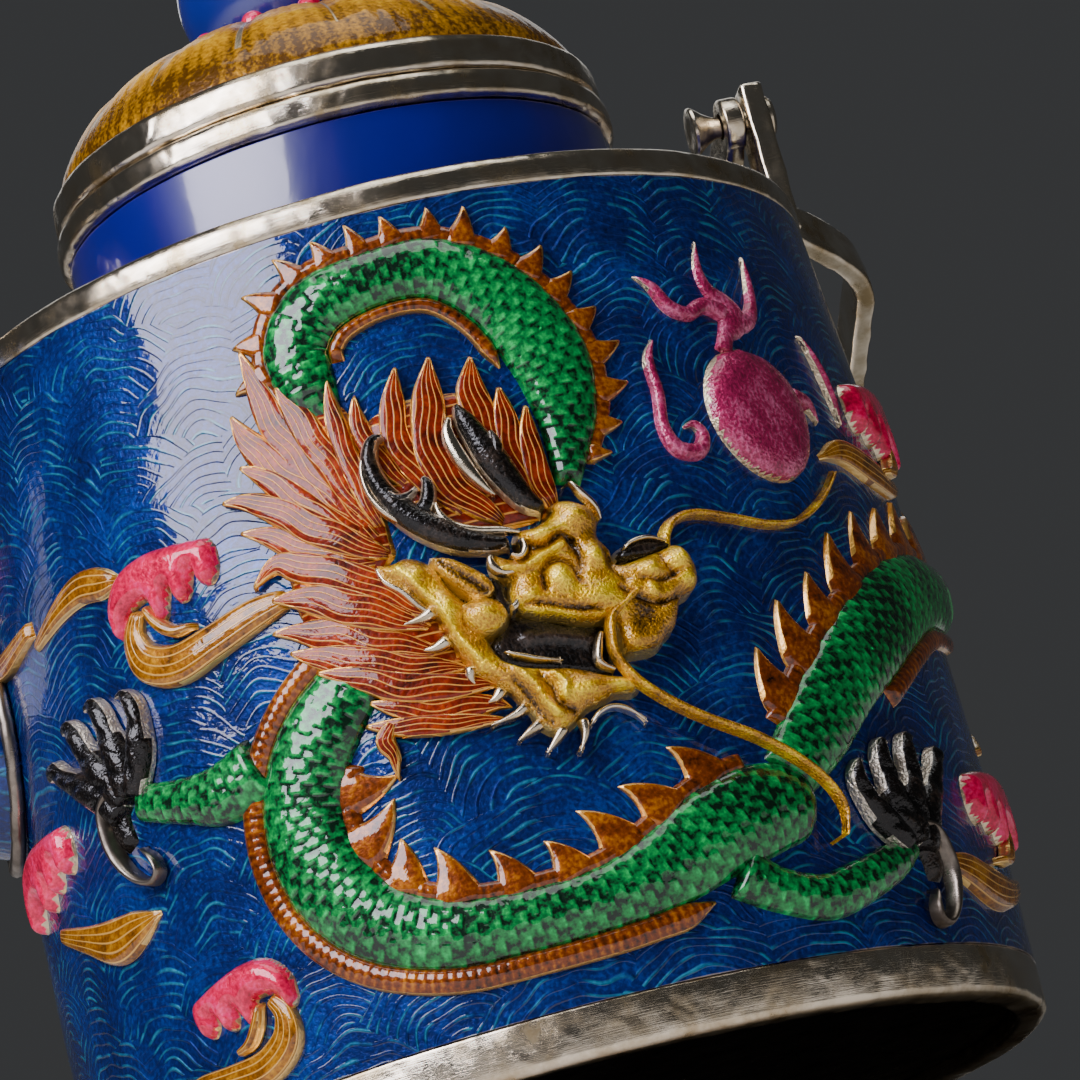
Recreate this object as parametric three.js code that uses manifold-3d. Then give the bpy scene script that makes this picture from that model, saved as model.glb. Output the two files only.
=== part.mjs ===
// A small lidded pot of enamelled, chased metal: a nearly straight round body with a dragon in
// relief, a plain neck, a domed lid with a ball knob, a spout on the left and a swinging bail.
//
// Millimetres, +Z up. The origin is the centre of the flat underside of the base plate. The spout
// points along -X and the bail turns about an axis parallel to X. Heights below are counted from
// the plane that the foot stands on, which lies footDrop under the origin.

import * as THREE from 'three';
import { mergeVertices } from 'three/addons/utils/BufferGeometryUtils.js';
import Module from 'manifold-3d';

const wasm = await Module();
wasm.setup();

// ---- Driving dimensions ----

const footDrop = 1.6;        // how far the base plate is let in above the foot
const wall = 1.2;            // sheet thickness of the body, neck, lid and spout
const gap = 0.3;             // the solder gap left between two pieces
const turns = 48;            // sides of a large round piece

const body = {
  footRadius: 45.0,          // outside, on the ground
  lowRadius: 45.14,          // where the enamel starts
  lowHeight: 4.6,
  highRadius: 42.9,          // where the enamel ends
  highHeight: 80.05,
  belly: 1.0,                // how far the wall swells halfway up
};

const rim = { radius: 42.66, swell: 0.34, bottom: 80.35, top: 83.04, inner: 41.2 };

const neck = { radius: 27.3, bottom: 82.4, top: 95.0, ringRadius: 28.06, ringTop: 98.1, bore: 25.9 };

const lid = {
  ringBottom: 98.4,
  ringTop: 101.9,
  ringRadius: 27.72,
  flangeRadius: 25.5,
  flangeDepth: 6.1,
  domeRadius: 26.6,
  domeTop: 112.0,
  flatRadius: 9.0,           // flat seat of the knob at the top of the dome
};

const knob = { radius: 10.5, centre: 119.2, bottom: 113.9, collarRadius: 8.2, screwRadius: 1.5 };

const spout = {
  route: [[-41.5, 48.6], [-61, 52], [-63, 72], [-83, 86]],   // x and height, as a Bezier curve
  rootHalfHeight: 11,
  rootHalfWidth: 8.6,
  mouthRadius: 5.8,
  collar: 1.5,
  lipLength: 1.5,
};

const ear = {
  axisHeight: 96,            // height of the bail's pivot
  lugInner: 41.9,            // the strap that stands on the rim, from the pot's axis
  lugOuter: 44.2,
  lugHalfWidth: 2.6,
  lugTop: 99.2,
  pinRadius: 1.1,
  holeRadius: 1.35,
  flareInner: 36.3,
  flareOuter: 38.8,
  flareRadius: 2.5,
  headRadius: 2.2,
  headDepth: 0.9,
};

const bail = {
  thickness: 2.0,            // of the strap
  halfWidth: 2.7,
  restAngle: -20,            // degrees above the horizontal, folded to the back
  eye: 40.5,                 // x of the strap at the pivot
  bow: 56.6,                 // x of the strap along the arm
  reach: 92,                 // pivot to crossbar
  shoulderStart: 7,
  shoulderEnd: 31,
  corner: 15,
};

// The relief is laid out on the unrolled wall: s runs round the pot to the right from the front,
// z is the height above the foot, both in millimetres.
const unroll = { radius: 44.5, zeroAngle: -100 };

// ---- Solids ----

// One closed body: shared vertices merged, flat triangles dropped and faces turned outward.
function closed(geometry) {
  const bare = geometry.clone();
  bare.deleteAttribute('normal');
  bare.deleteAttribute('uv');
  const merged = mergeVertices(bare, 1e-4);
  const kept = [];
  for (let i = 0; i < merged.index.count; i += 3) {
    const [a, b, c] = [merged.index.getX(i), merged.index.getX(i + 1), merged.index.getX(i + 2)];
    if (a !== b && b !== c && c !== a) kept.push([a, b, c]);
  }
  const at = (i) => new THREE.Vector3().fromBufferAttribute(merged.attributes.position, i);
  const volume = kept.reduce((sum, [a, b, c]) => sum + at(a).dot(at(b).cross(at(c))), 0);
  merged.setIndex(kept.flatMap(([a, b, c]) => (volume < 0 ? [a, c, b] : [a, b, c])));
  return merged;
}

function toSolid(geometry) {
  const merged = closed(geometry);
  const mesh = new wasm.Mesh({
    numProp: 3,
    vertProperties: new Float32Array(merged.attributes.position.array),
    triVerts: new Uint32Array(merged.index.array),
  });
  return new wasm.Manifold(mesh);
}

function toGeometry(solid) {
  const mesh = solid.getMesh();
  const geometry = new THREE.BufferGeometry();
  const corners = new Float32Array((mesh.vertProperties.length / mesh.numProp) * 3);
  for (let i = 0; i < corners.length / 3; i++) {
    for (let k = 0; k < 3; k++) corners[3 * i + k] = mesh.vertProperties[i * mesh.numProp + k];
  }
  geometry.setAttribute('position', new THREE.BufferAttribute(corners, 3));
  geometry.setIndex(Array.from(mesh.triVerts));
  return geometry;
}

// A profile of [radius, height] points turned about the Z axis. A ring's profile is closed on
// itself, a disc's starts and ends on the axis.
function turned(profile, sides = turns) {
  const onAxis = profile[0][0] === 0;
  const points = (onAxis ? profile : [...profile, profile[0]]).map(([r, z]) => new THREE.Vector2(r, z));
  return closed(new THREE.LatheGeometry(points, sides).rotateX(Math.PI / 2));
}

// Radius of the wall's outer face at a height.
function wallRadius(height) {
  const k = (height - body.lowHeight) / (body.highHeight - body.lowHeight);
  return body.lowRadius + (body.highRadius - body.lowRadius) * k + 4 * body.belly * k * (1 - k);
}

// The wall's face as profile points between two heights, moved outward by an offset.
function wallPoints(low, high, offset, count = 3) {
  return Array.from({ length: count + 1 }, (_, i) => {
    const height = low + ((high - low) * i) / count;
    return [wallRadius(height) + offset, height];
  });
}

// A point of the unrolled layout, brought to its place on the wall, standing out by an amount.
function onWall(s, height, out) {
  const angle = s / unroll.radius + THREE.MathUtils.degToRad(unroll.zeroAngle);
  const r = wallRadius(height) + out;
  return new THREE.Vector3(r * Math.cos(angle), r * Math.sin(angle), height);
}

// A raised ridge along a route on the wall: a cylinder bent along the route and flattened against
// the wall, with the half-width that a function gives from start (0) to end (1).
function ridge(route, halfWidth, proud, steps = 10, sides = 5) {
  const curve = new THREE.CatmullRomCurve3(route.map(([s, z]) => new THREE.Vector3(s, z, 0)));
  const bar = new THREE.CylinderGeometry(1, 1, 1, sides, steps);
  const spots = bar.attributes.position;
  for (let i = 0; i < spots.count; i++) {
    const along = Math.min(Math.max(spots.getY(i) + 0.5, 0), 1);
    const centre = curve.getPointAt(along);
    const heading = curve.getTangentAt(along);
    const side = spots.getX(i) * halfWidth(along);
    const point = onWall(
      centre.x + heading.y * side,
      centre.y - heading.x * side,
      spots.getZ(i) * proud,
    );
    spots.setXYZ(i, point.x, point.y, point.z);
  }
  return toSolid(bar);
}

// A rounded boss on the wall.
function boss(s, height, halfLength, halfHeight, proud) {
  const ball = new THREE.SphereGeometry(1, 7, 4);
  const spots = ball.attributes.position;
  for (let i = 0; i < spots.count; i++) {
    const out = spots.getZ(i) * proud;
    const point = onWall(s + spots.getX(i) * halfLength, height + spots.getY(i) * halfHeight, out);
    spots.setXYZ(i, point.x, point.y, point.z);
  }
  return toSolid(ball);
}

const even = (width) => () => width;
const tapering = (from, to) => (u) => from + (to - from) * u;

// ---- The relief ----

// The dragon's body comes out from behind its mane, arches over the head, and a second length
// curls under it and climbs away to the right, round the back, where the tail ends by the spout.
const dragonRidges = [
  [[[-7, 67], [-7, 72], [-2, 73.5], [6, 73.3], [12, 69], [14.8, 62], [14, 55], [13, 50]],
    tapering(3.6, 2.4), 2.0],
  [[[-10, 37], [-15, 33], [-17, 26], [-15, 19.5], [-9, 15], [0, 13.2], [10, 13.6], [18, 17.5],
    [27, 18.5]], tapering(4.0, 3.2), 2.0],
  [[[27, 22], [33, 27], [40, 32.5], [48, 37.5], [60, 40.5], [76, 44], [90, 51], [101, 61],
    [113, 64], [124, 56], [130, 42], [138, 28], [150, 20], [162, 24], [171, 36], [180, 50],
    [190, 60], [199, 64]], tapering(3.9, 1.0), 2.0, 24],
  [[[18, 14], [24, 10.5], [30, 10.8], [37, 13]], even(2.6), 1.6, 3],
  [[[-20, 33.5], [-25, 32.5], [-33, 35]], even(2.4), 1.6, 3],
  [[[108, 60], [112, 52], [107, 45], [101, 42]], even(2.4), 1.6, 3],
  [[[152, 22], [158, 32], [153, 40]], even(2.4), 1.6, 3],
];

const dragonBosses = [
  [0, 52, 13, 13, 1.6],        // mane
  [-8, 44, 9, 9, 1.5],
  [7, 43.5, 10, 5.5, 2.6],     // head
  [17, 41, 5.5, 3.6, 2.4],     // snout
  [6, 33.5, 6.5, 4.5, 2.0],    // jaw
  [38.5, 16, 6, 8.5, 1.7],     // right claw
  [-36.5, 40, 6.5, 7, 1.7],    // left claw
  [98, 37, 6, 7, 1.7],         // hind claws
  [148, 46, 6.5, 6.5, 1.7],
];

const cloudBosses = [
  [35.7, 55.7, 6, 6.5, 1.5],   // flaming pearl
  [37, 66, 6, 3, 1.0],
  [-25, 50, 7, 6, 1.3],        // clouds
  [-43, 56.5, 6, 3.5, 1.1],
  [-43, 28.5, 7, 6, 1.2],
  [-26, 12.5, 6, 5, 1.2],
  [60, 57, 9, 6, 1.3],
  [57, 14, 9, 5.5, 1.3],
  [88, 22, 9, 6, 1.3],
  [95, 70, 8, 5, 1.2],
  [146, 66, 9, 6, 1.3],
  [121, 18, 8, 6, 1.2],
  [180, 22, 9, 6, 1.3],
];

// ---- Body ----

function bodyShell() {
  const low = body.lowHeight + gap;
  const high = body.highHeight;
  const outer = wallPoints(low, high, 0);
  const inner = wallPoints(low, high, -wall).reverse();
  const tube = toSolid(turned([...outer, ...inner]));
  const hollow = toSolid(turned([[0, low - 1], ...wallPoints(low - 1, high + 1, -wall), [0, high + 1]]));
  const raised = [
    ...dragonRidges.map((item) => ridge(...item)),
    ...[...dragonBosses, ...cloudBosses].map((item) => boss(...item)),
  ];
  const relief = raised.reduce((sum, piece) => sum.add(piece)).subtract(hollow);
  return tube.add(relief).subtract(strainerHoles());
}

// The wall is pierced inside the spout's root, which holds the leaves back.
function strainerHoles() {
  const holeRadius = 1.3;
  const pitch = 4.2;
  const holes = [];
  for (let row = -1; row <= 1; row++) {
    for (let column = -1; column <= 1; column++) {
      const hole = new THREE.CylinderGeometry(holeRadius, holeRadius, 12, 8).rotateZ(Math.PI / 2);
      hole.translate(-body.lowRadius, column * pitch, spout.route[0][1] + row * pitch);
      holes.push(toSolid(hole));
    }
  }
  return holes.reduce((sum, hole) => sum.add(hole));
}

function baseBand() {
  const upstand = wallRadius(body.lowHeight) - wall - gap;
  return turned([
    [42.2, 0], [44.4, 0], [44.85, 0.25], [body.footRadius, 0.8], [body.lowRadius, body.lowHeight],
    [upstand, body.lowHeight], [upstand, 9], [upstand - wall, 9], [41.9, 6.5], [41.9, 0.35],
  ]);
}

function basePlate() {
  const radius = 41.9 - gap;
  return turned([
    [0, footDrop], [radius - 0.3, footDrop], [radius, footDrop + 0.3], [radius, footDrop + wall],
    [0, footDrop + wall],
  ]);
}

function shoulderRim() {
  const outer = rim.radius + rim.swell;
  return turned([
    [rim.inner, rim.bottom], [rim.radius + 0.2, rim.bottom], [outer, rim.bottom + 0.8],
    [outer, rim.top - 0.8], [rim.radius, rim.top], [rim.inner, rim.top],
  ]);
}

function shoulderPlate() {
  const inner = neck.radius + gap + 0.05;
  const outer = rim.inner - gap;
  return turned([
    [inner, 83.4], [outer - 4, 82.0], [outer, 81.2], [outer, 81.2 + wall], [outer - 4, 82.0 + wall],
    [inner, 83.4 + wall],
  ]);
}

function tube(outerRadius, innerRadius, bottom, top, sides = turns) {
  return turned([[outerRadius, bottom], [outerRadius, top], [innerRadius, top], [innerRadius, bottom]], sides);
}

function neckRing() {
  const bottom = neck.top + gap;
  return turned([
    [neck.bore, bottom], [neck.radius, bottom], [neck.ringRadius, bottom + 0.5],
    [neck.ringRadius, neck.ringTop - 0.6], [neck.ringRadius - 0.4, neck.ringTop], [neck.bore, neck.ringTop],
  ]);
}

// ---- Lid ----

function lidRing() {
  return turned([
    [lid.flangeRadius - wall, lid.ringBottom], [lid.ringRadius - 0.5, lid.ringBottom],
    [lid.ringRadius, lid.ringBottom + 0.6], [lid.ringRadius - 0.2, lid.ringTop - 0.6],
    [lid.ringRadius - 0.7, lid.ringTop], [lid.flangeRadius - wall, lid.ringTop],
  ]);
}

// Height of the dome's outer face at a radius: a quarter ellipse from the ring to the flat seat.
function domeHeight(radius) {
  const k = Math.max(radius - lid.flatRadius, 0) / (lid.domeRadius - lid.flatRadius);
  const bottom = lid.ringTop + gap;
  return bottom + (lid.domeTop - bottom) * Math.pow(1 - k * k, 0.62);
}

function lidDome() {
  const hole = knob.screwRadius + gap;
  const bottom = lid.ringTop + gap;
  const radii = [26.6, 25.6, 22.5, 18, 13, lid.flatRadius, hole];
  const outer = radii.map((r) => [r, domeHeight(r)]);
  const inner = radii.slice(1).map((r) => [r === hole ? hole : r - 0.5, domeHeight(r) - wall]);
  inner[0] = [radii[0] - wall, bottom];
  return turned([...outer, ...inner.reverse()]);
}

function knobBall() {
  const points = [[0, knob.bottom]];
  const low = Math.asin((knob.bottom - knob.centre) / knob.radius);
  const steps = 9;
  for (let i = 0; i < steps; i++) {
    const angle = low + ((Math.PI / 2 - low) * i) / steps;
    points.push([knob.radius * Math.cos(angle), knob.centre + knob.radius * Math.sin(angle)]);
  }
  points.push([0, knob.centre + knob.radius]);
  const blind = new THREE.CylinderGeometry(knob.screwRadius + gap, knob.screwRadius + gap, 8, 16);
  blind.rotateX(Math.PI / 2).translate(0, 0, knob.bottom + 2);
  return toGeometry(toSolid(turned(points, 24)).subtract(toSolid(blind)));
}

function knobNut() {
  const bottom = 107.2;
  return tube(3.2, knob.screwRadius + gap, bottom, bottom + 2.0, 6);
}

function knobScrew() {
  const [bottom, top] = [106.4, knob.bottom + 5];
  const r = knob.screwRadius;
  return turned([[0, bottom], [r - 0.3, bottom], [r, bottom + 0.3], [r, top - 0.3], [r - 0.3, top], [0, top]], 16);
}

// ---- Spout ----

const spoutCurve = new THREE.CubicBezierCurve3(
  ...spout.route.map(([x, z]) => new THREE.Vector3(x, 0, z)),
);

// A tapering oval tube along the spout's curve, from one part of it to another, between two
// distances outside the spout's outer face.
function spoutTube(from, to, outside, inside, sides = 16, steps = 8) {
  const profile = [];
  for (let i = 0; i <= steps; i++) profile.push([1, i / steps]);
  for (let i = steps; i >= 0; i--) profile.push([0.5, i / steps]);
  const pipe = turned(profile, sides);
  const spots = pipe.attributes.position;
  const across = new THREE.Vector3(0, 1, 0);
  for (let i = 0; i < spots.count; i++) {
    const [x, y] = [spots.getX(i), spots.getY(i)];
    const along = from + (to - from) * Math.min(Math.max(spots.getZ(i), 0), 1);
    const size = Math.hypot(x, y);
    const offset = size > 0.75 ? outside : inside;
    const taper = Math.pow(1 - along, 1.5);
    const tall = spout.mouthRadius + (spout.rootHalfHeight - spout.mouthRadius) * taper + offset;
    const wide = spout.mouthRadius + (spout.rootHalfWidth - spout.mouthRadius) * taper + offset;
    const up = new THREE.Vector3().crossVectors(across, spoutCurve.getTangent(along));
    const point = spoutCurve.getPoint(along)
      .addScaledVector(up, (y / size) * tall)
      .addScaledVector(across, (x / size) * wide);
    spots.setXYZ(i, point.x, point.y, point.z);
  }
  return toSolid(pipe);
}

// Everything inside the wall's outer face, grown by an amount.
function bodyCore(grow) {
  return toSolid(turned([[0, 10], ...wallPoints(10, 79, grow), [0, 79]]));
}

function spoutBody() {
  return toGeometry(spoutTube(0, 1, 0, -wall).subtract(bodyCore(gap)));
}

function spoutCollar() {
  const sleeve = spoutTube(0, 0.4, spout.collar + gap, gap, 16, 4);
  return toGeometry(sleeve.subtract(bodyCore(gap)).intersect(bodyCore(gap + spout.collar)));
}

function spoutLip() {
  const inner = spout.mouthRadius - wall;
  const outer = spout.mouthRadius + 0.6;
  return turned([
    [inner, gap], [outer - 0.3, gap], [outer, gap + 0.4], [outer, gap + spout.lipLength - 0.5],
    [outer - 0.6, gap + spout.lipLength], [inner, gap + spout.lipLength],
  ], 24);
}

// ---- Ears and bail ----

// The strap that stands on the shoulder's rim and carries the pivot pin, for the right side.
function lug() {
  const { lugHalfWidth: half, lugTop: top } = ear;
  const bottom = rim.top + gap;
  const outline = new THREE.Shape();
  outline.moveTo(-half, bottom);
  outline.lineTo(half, bottom);
  outline.lineTo(half, top - 1.2);
  outline.lineTo(half - 1.2, top);
  outline.lineTo(-half + 1.2, top);
  outline.lineTo(-half, top - 1.2);
  outline.closePath();
  const hole = new THREE.Path().absarc(0, ear.axisHeight, ear.holeRadius, 0, 2 * Math.PI, true);
  outline.holes.push(hole);
  const depth = ear.lugOuter - ear.lugInner;
  const plate = new THREE.ExtrudeGeometry(outline, { depth, bevelEnabled: false, curveSegments: 16 });
  plate.rotateX(Math.PI / 2).rotateZ(Math.PI / 2).translate(ear.lugInner, 0, 0);
  return closed(plate);
}

// The pivot pin lies along X: a shank with a trumpet-shaped head inside and a peened one outside.
function pivotPin() {
  const outerFace = ear.lugOuter + gap;
  const pin = turned([
    [0, ear.flareInner], [ear.flareRadius - 0.4, ear.flareInner], [ear.flareRadius, ear.flareInner + 0.3],
    [ear.pinRadius + 0.5, ear.flareOuter - 0.8], [ear.pinRadius, ear.flareOuter],
    [ear.pinRadius, outerFace], [ear.headRadius, outerFace], [ear.headRadius - 0.5, outerFace + ear.headDepth],
    [0, outerFace + ear.headDepth],
  ], 16);
  return pin.rotateY(Math.PI / 2);
}

// The bail's flat strap, in its own plane: x across the pot, and the distance from the pivot.
function bailRoute() {
  const { eye, bow, reach, shoulderStart, shoulderEnd, corner } = bail;
  const path = new THREE.CurvePath();
  const spot = (x, along) => new THREE.Vector3(x, along, 0);
  const half = (side) => [
    new THREE.LineCurve3(spot(side * eye, 0), spot(side * eye, shoulderStart)),
    new THREE.CubicBezierCurve3(
      spot(side * eye, shoulderStart),
      spot(side * (eye + 1), shoulderStart + 9),
      spot(side * bow, shoulderEnd - 9),
      spot(side * bow, shoulderEnd),
    ),
    new THREE.LineCurve3(spot(side * bow, shoulderEnd), spot(side * bow, reach - corner)),
    new THREE.QuadraticBezierCurve3(
      spot(side * bow, reach - corner), spot(side * bow, reach), spot(side * (bow - corner), reach),
    ),
    new THREE.LineCurve3(spot(side * (bow - corner), reach), spot(0, reach)),
  ];
  half(1).forEach((piece) => path.add(piece));
  const back = half(-1).reverse();
  back.forEach((piece) => path.add(piece instanceof THREE.LineCurve3
    ? new THREE.LineCurve3(piece.v2, piece.v1)
    : piece instanceof THREE.CubicBezierCurve3
      ? new THREE.CubicBezierCurve3(piece.v3, piece.v2, piece.v1, piece.v0)
      : new THREE.QuadraticBezierCurve3(piece.v2, piece.v1, piece.v0)));
  return path;
}

// The strap stands on edge like a hoop: its width lies across the plane of the bail.
function bailHandle() {
  const route = bailRoute();
  const steps = 48;
  const strip = new THREE.BoxGeometry(1, 1, 1, 1, steps, 1);
  const spots = strip.attributes.position;
  for (let i = 0; i < spots.count; i++) {
    const along = spots.getY(i) + 0.5;
    const centre = route.getPointAt(along);
    const heading = route.getTangentAt(along);
    const side = spots.getX(i) * bail.thickness;
    spots.setXYZ(
      i,
      centre.x + heading.y * side,
      centre.y - heading.x * side,
      spots.getZ(i) * 2 * bail.halfWidth,
    );
  }
  let hoop = toSolid(strip);
  for (const side of [-1, 1]) {
    const eye = new THREE.CylinderGeometry(bail.halfWidth, bail.halfWidth, bail.thickness, 16);
    hoop = hoop.add(toSolid(eye.rotateZ(Math.PI / 2).translate(side * bail.eye, 0, 0)));
    const hole = new THREE.CylinderGeometry(ear.holeRadius, ear.holeRadius, bail.thickness + 4, 16);
    hoop = hoop.subtract(toSolid(hole.rotateZ(Math.PI / 2).translate(side * bail.eye, 0, 0)));
  }
  return toGeometry(hoop);
}

// ---- Finishes ----

const finish = (color, roughness, metalness) =>
  new THREE.MeshStandardMaterial({ color, roughness, metalness });

const silver = finish(0xc9c2b6, 0.25, 1.0);
const oldSilver = finish(0xa59c8c, 0.35, 1.0);
const brass = finish(0xb99545, 0.35, 1.0);
const blueEnamel = finish(0x113a86, 0.15, 0.0);
const cobaltEnamel = finish(0x1a178c, 0.12, 0.0);
const amberEnamel = finish(0xb08a10, 0.2, 0.0);
const knobEnamel = finish(0x1a2a80, 0.08, 0.0);

// ---- Assembly ----

const pot = new THREE.Group();
pot.position.z = -footDrop;

function place(name, geometry, material, parent = pot) {
  const mesh = new THREE.Mesh(geometry, material);
  mesh.name = name;
  parent.add(mesh);
  return mesh;
}

place('base_band', baseBand(), oldSilver);
place('base_plate', basePlate(), oldSilver);
place('body_shell', toGeometry(bodyShell()), blueEnamel);
place('shoulder_rim', shoulderRim(), silver);
place('shoulder_plate', shoulderPlate(), cobaltEnamel);
place('neck_collar', tube(neck.radius, neck.radius - wall, neck.bottom, neck.top), cobaltEnamel);
place('neck_ring', neckRing(), silver);

const flangeTop = lid.ringBottom - gap;
const flangeBottom = flangeTop - lid.flangeDepth;
place('lid_flange', tube(lid.flangeRadius, lid.flangeRadius - wall, flangeBottom, flangeTop), oldSilver);
place('lid_ring', lidRing(), silver);
place('lid_dome', lidDome(), amberEnamel);
place('knob_collar', tube(knob.collarRadius, 2.0, lid.domeTop + gap, knob.bottom - gap, 40), silver);
place('knob', knobBall(), knobEnamel);
place('knob_screw', knobScrew(), brass);
place('knob_washer', tube(4.2, knob.screwRadius + gap, 109.5, lid.domeTop - wall - gap, 24), brass);
place('knob_nut', knobNut(), brass);

place('spout_body', spoutBody(), blueEnamel);
place('spout_collar', spoutCollar(), silver);
const lip = place('spout_lip', spoutLip(), silver);
lip.position.copy(spoutCurve.getPoint(1));
lip.quaternion.setFromUnitVectors(new THREE.Vector3(0, 0, 1), spoutCurve.getTangent(1));

for (const [side, turn] of [['right', 0], ['left', Math.PI]]) {
  place(`lug_${side}`, lug(), silver).rotation.z = turn;
  const pin = place(`pivot_pin_${side}`, pivotPin(), silver);
  pin.rotation.z = turn;
  pin.position.z = ear.axisHeight;
}

const handle = place('bail_handle', bailHandle(), silver);
handle.position.z = ear.axisHeight;
handle.rotation.x = THREE.MathUtils.degToRad(bail.restAngle);

const model = new THREE.Group();
model.add(pot);

export default model;
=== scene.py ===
import math

import bpy
import numpy as np
from mathutils import Matrix, Vector


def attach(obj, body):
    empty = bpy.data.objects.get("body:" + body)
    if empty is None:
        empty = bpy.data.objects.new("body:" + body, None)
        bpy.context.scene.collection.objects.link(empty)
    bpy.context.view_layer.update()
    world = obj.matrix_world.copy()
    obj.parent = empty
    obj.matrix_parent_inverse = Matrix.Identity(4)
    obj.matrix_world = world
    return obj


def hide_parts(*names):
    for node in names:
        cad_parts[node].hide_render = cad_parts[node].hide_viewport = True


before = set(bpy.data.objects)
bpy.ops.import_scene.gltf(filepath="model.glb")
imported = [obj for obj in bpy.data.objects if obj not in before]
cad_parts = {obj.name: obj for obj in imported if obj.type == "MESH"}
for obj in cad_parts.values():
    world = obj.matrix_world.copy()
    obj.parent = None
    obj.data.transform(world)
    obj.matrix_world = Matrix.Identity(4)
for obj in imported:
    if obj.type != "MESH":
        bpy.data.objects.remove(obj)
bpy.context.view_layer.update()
print("frame loaded")

mm = 0.001

# the pot's own sizes, in millimetres; heights are counted from the plane the foot stands on
pot = {
    "footDrop": 1.6,          # the origin lies this far above the foot's plane
    "lowRadius": 45.14, "lowHeight": 4.6,
    "highRadius": 42.9, "highHeight": 80.05,
    "belly": 1.0,
    "wall": 1.2,
    "unrollRadius": 44.5,     # s, the distance round the pot, is measured on this radius
    "frontAngle": -100.0,     # degrees, where s is zero
    "turns": 180,             # sides of a large round piece
    "reliefSheet": 0.35,      # thickness of the raised sheets on the wall
    "floorGap": 0.08,         # the floor is this far under the foot, so the two don't share a plane
}


def deselectAll():
    if bpy.context.object and bpy.context.object.mode != "OBJECT":
        bpy.ops.object.mode_set(mode="OBJECT")
    bpy.ops.object.select_all(action="DESELECT")


def pick(pieces):
    deselectAll()
    for piece in pieces:
        piece.select_set(True)
    bpy.context.view_layer.objects.active = pieces[0]


def applyModifiers(piece):
    pick([piece])
    for modifier in list(piece.modifiers):
        bpy.ops.object.modifier_apply(modifier=modifier.name)


def readPlaces(piece):
    places = np.empty(len(piece.data.vertices) * 3)
    piece.data.vertices.foreach_get("co", places)
    return places.reshape(-1, 3)


def writePlaces(piece, places):
    piece.data.vertices.foreach_set("co", np.ascontiguousarray(places, float).ravel())
    piece.data.update()


def writeNumber(piece, name, values):
    attribute = piece.data.attributes.get(name) or piece.data.attributes.new(name, "FLOAT", "POINT")
    attribute.data.foreach_set("value", np.ascontiguousarray(values, np.float32))


def writeUv(piece, across, along):
    corners = np.empty(len(piece.data.loops), int)
    piece.data.loops.foreach_get("vertex_index", corners)
    layer = piece.data.uv_layers.active or piece.data.uv_layers.new(name="UVMap")
    layer.data.foreach_set("uv", np.stack([across[corners], along[corners]], 1).ravel().astype(np.float32))


def tidyMesh(piece, distance=0.00001):
    pick([piece])
    bpy.ops.object.mode_set(mode="EDIT")
    bpy.ops.mesh.select_all(action="SELECT")
    bpy.ops.mesh.remove_doubles(threshold=distance)
    bpy.ops.mesh.normals_make_consistent(inside=False)
    bpy.ops.object.mode_set(mode="OBJECT")


def finishPiece(piece, name, body, material, replaced=(), smoothAngle=None):
    piece.name = name
    piece.data.name = name
    piece.data.materials.clear()
    piece.data.materials.append(material)
    pick([piece])
    if smoothAngle is None:
        bpy.ops.object.shade_smooth()
    else:
        bpy.ops.object.shade_smooth_by_angle(angle=math.radians(smoothAngle))
    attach(piece, body)
    if replaced:
        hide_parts(*replaced)
    print("made", name, len(piece.data.polygons))


def wallRadius(height):
    k = (height - pot["lowHeight"]) / (pot["highHeight"] - pot["lowHeight"])
    return pot["lowRadius"] + (pot["highRadius"] - pot["lowRadius"]) * k + 4 * pot["belly"] * k * (1 - k)


def onWall(s, height, out):
    # the flat layout wrapped on the wall, in metres
    angle = s / pot["unrollRadius"] + math.radians(pot["frontAngle"])
    radius = wallRadius(height) + out
    return np.stack([radius * np.cos(angle), radius * np.sin(angle), height - pot["footDrop"]], 1) * mm


def smoothLine(points, step):
    # a Catmull-Rom line through the points, every step millimetres; extra columns ride along
    points = np.array(points, float)
    padded = np.vstack([2 * points[0] - points[1], points, 2 * points[-1] - points[-2]])
    dense = []
    for i in range(1, len(padded) - 2):
        t = np.linspace(0, 1, 24, endpoint=False)[:, None]
        a, b, c, d = padded[i - 1:i + 3]
        dense.append(0.5 * (2 * b + (c - a) * t + (2 * a - 5 * b + 4 * c - d) * t ** 2
                            + (3 * b - a - 3 * c + d) * t ** 3))
    dense = np.vstack(dense + [points[-1:]])
    lengths = np.concatenate([[0], np.cumsum(np.linalg.norm(np.diff(dense[:, :2], axis=0), axis=1))])
    count = max(int(lengths[-1] / step), 3)
    evenly = np.linspace(0, lengths[-1], count + 1)
    return evenly, np.stack([np.interp(evenly, lengths, dense[:, k]) for k in range(dense.shape[1])], 1)


def wobble(x, y, size):
    # a smooth unevenness between about -1 and 1
    return (np.sin(x / size * 2.1 + 1.3 * np.sin(y / size * 1.3)) * np.cos(y / size * 1.7 + 0.7)
            + 0.5 * np.sin(x / size * 4.3 + y / size * 3.1 + 2.0)) / 1.5


def linear(code):
    values = [int(code[i:i + 2], 16) / 255 for i in (1, 3, 5)]
    return tuple(v / 12.92 if v <= 0.04045 else ((v + 0.055) / 1.055) ** 2.4 for v in values) + (1.0,)


def addNode(tree, kind, inputs=(), out=0, **settings):
    # makes a node, sets or links its inputs, and hands back one of its outputs
    node = tree.nodes.new(kind)
    for key, value in settings.items():
        setattr(node, key, value)
    for key, value in inputs.items() if isinstance(inputs, dict) else enumerate(inputs):
        if isinstance(value, bpy.types.NodeSocket):
            tree.links.new(value, node.inputs[key])
        elif value is not None:
            node.inputs[key].default_value = value
    return node.outputs[out]


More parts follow.
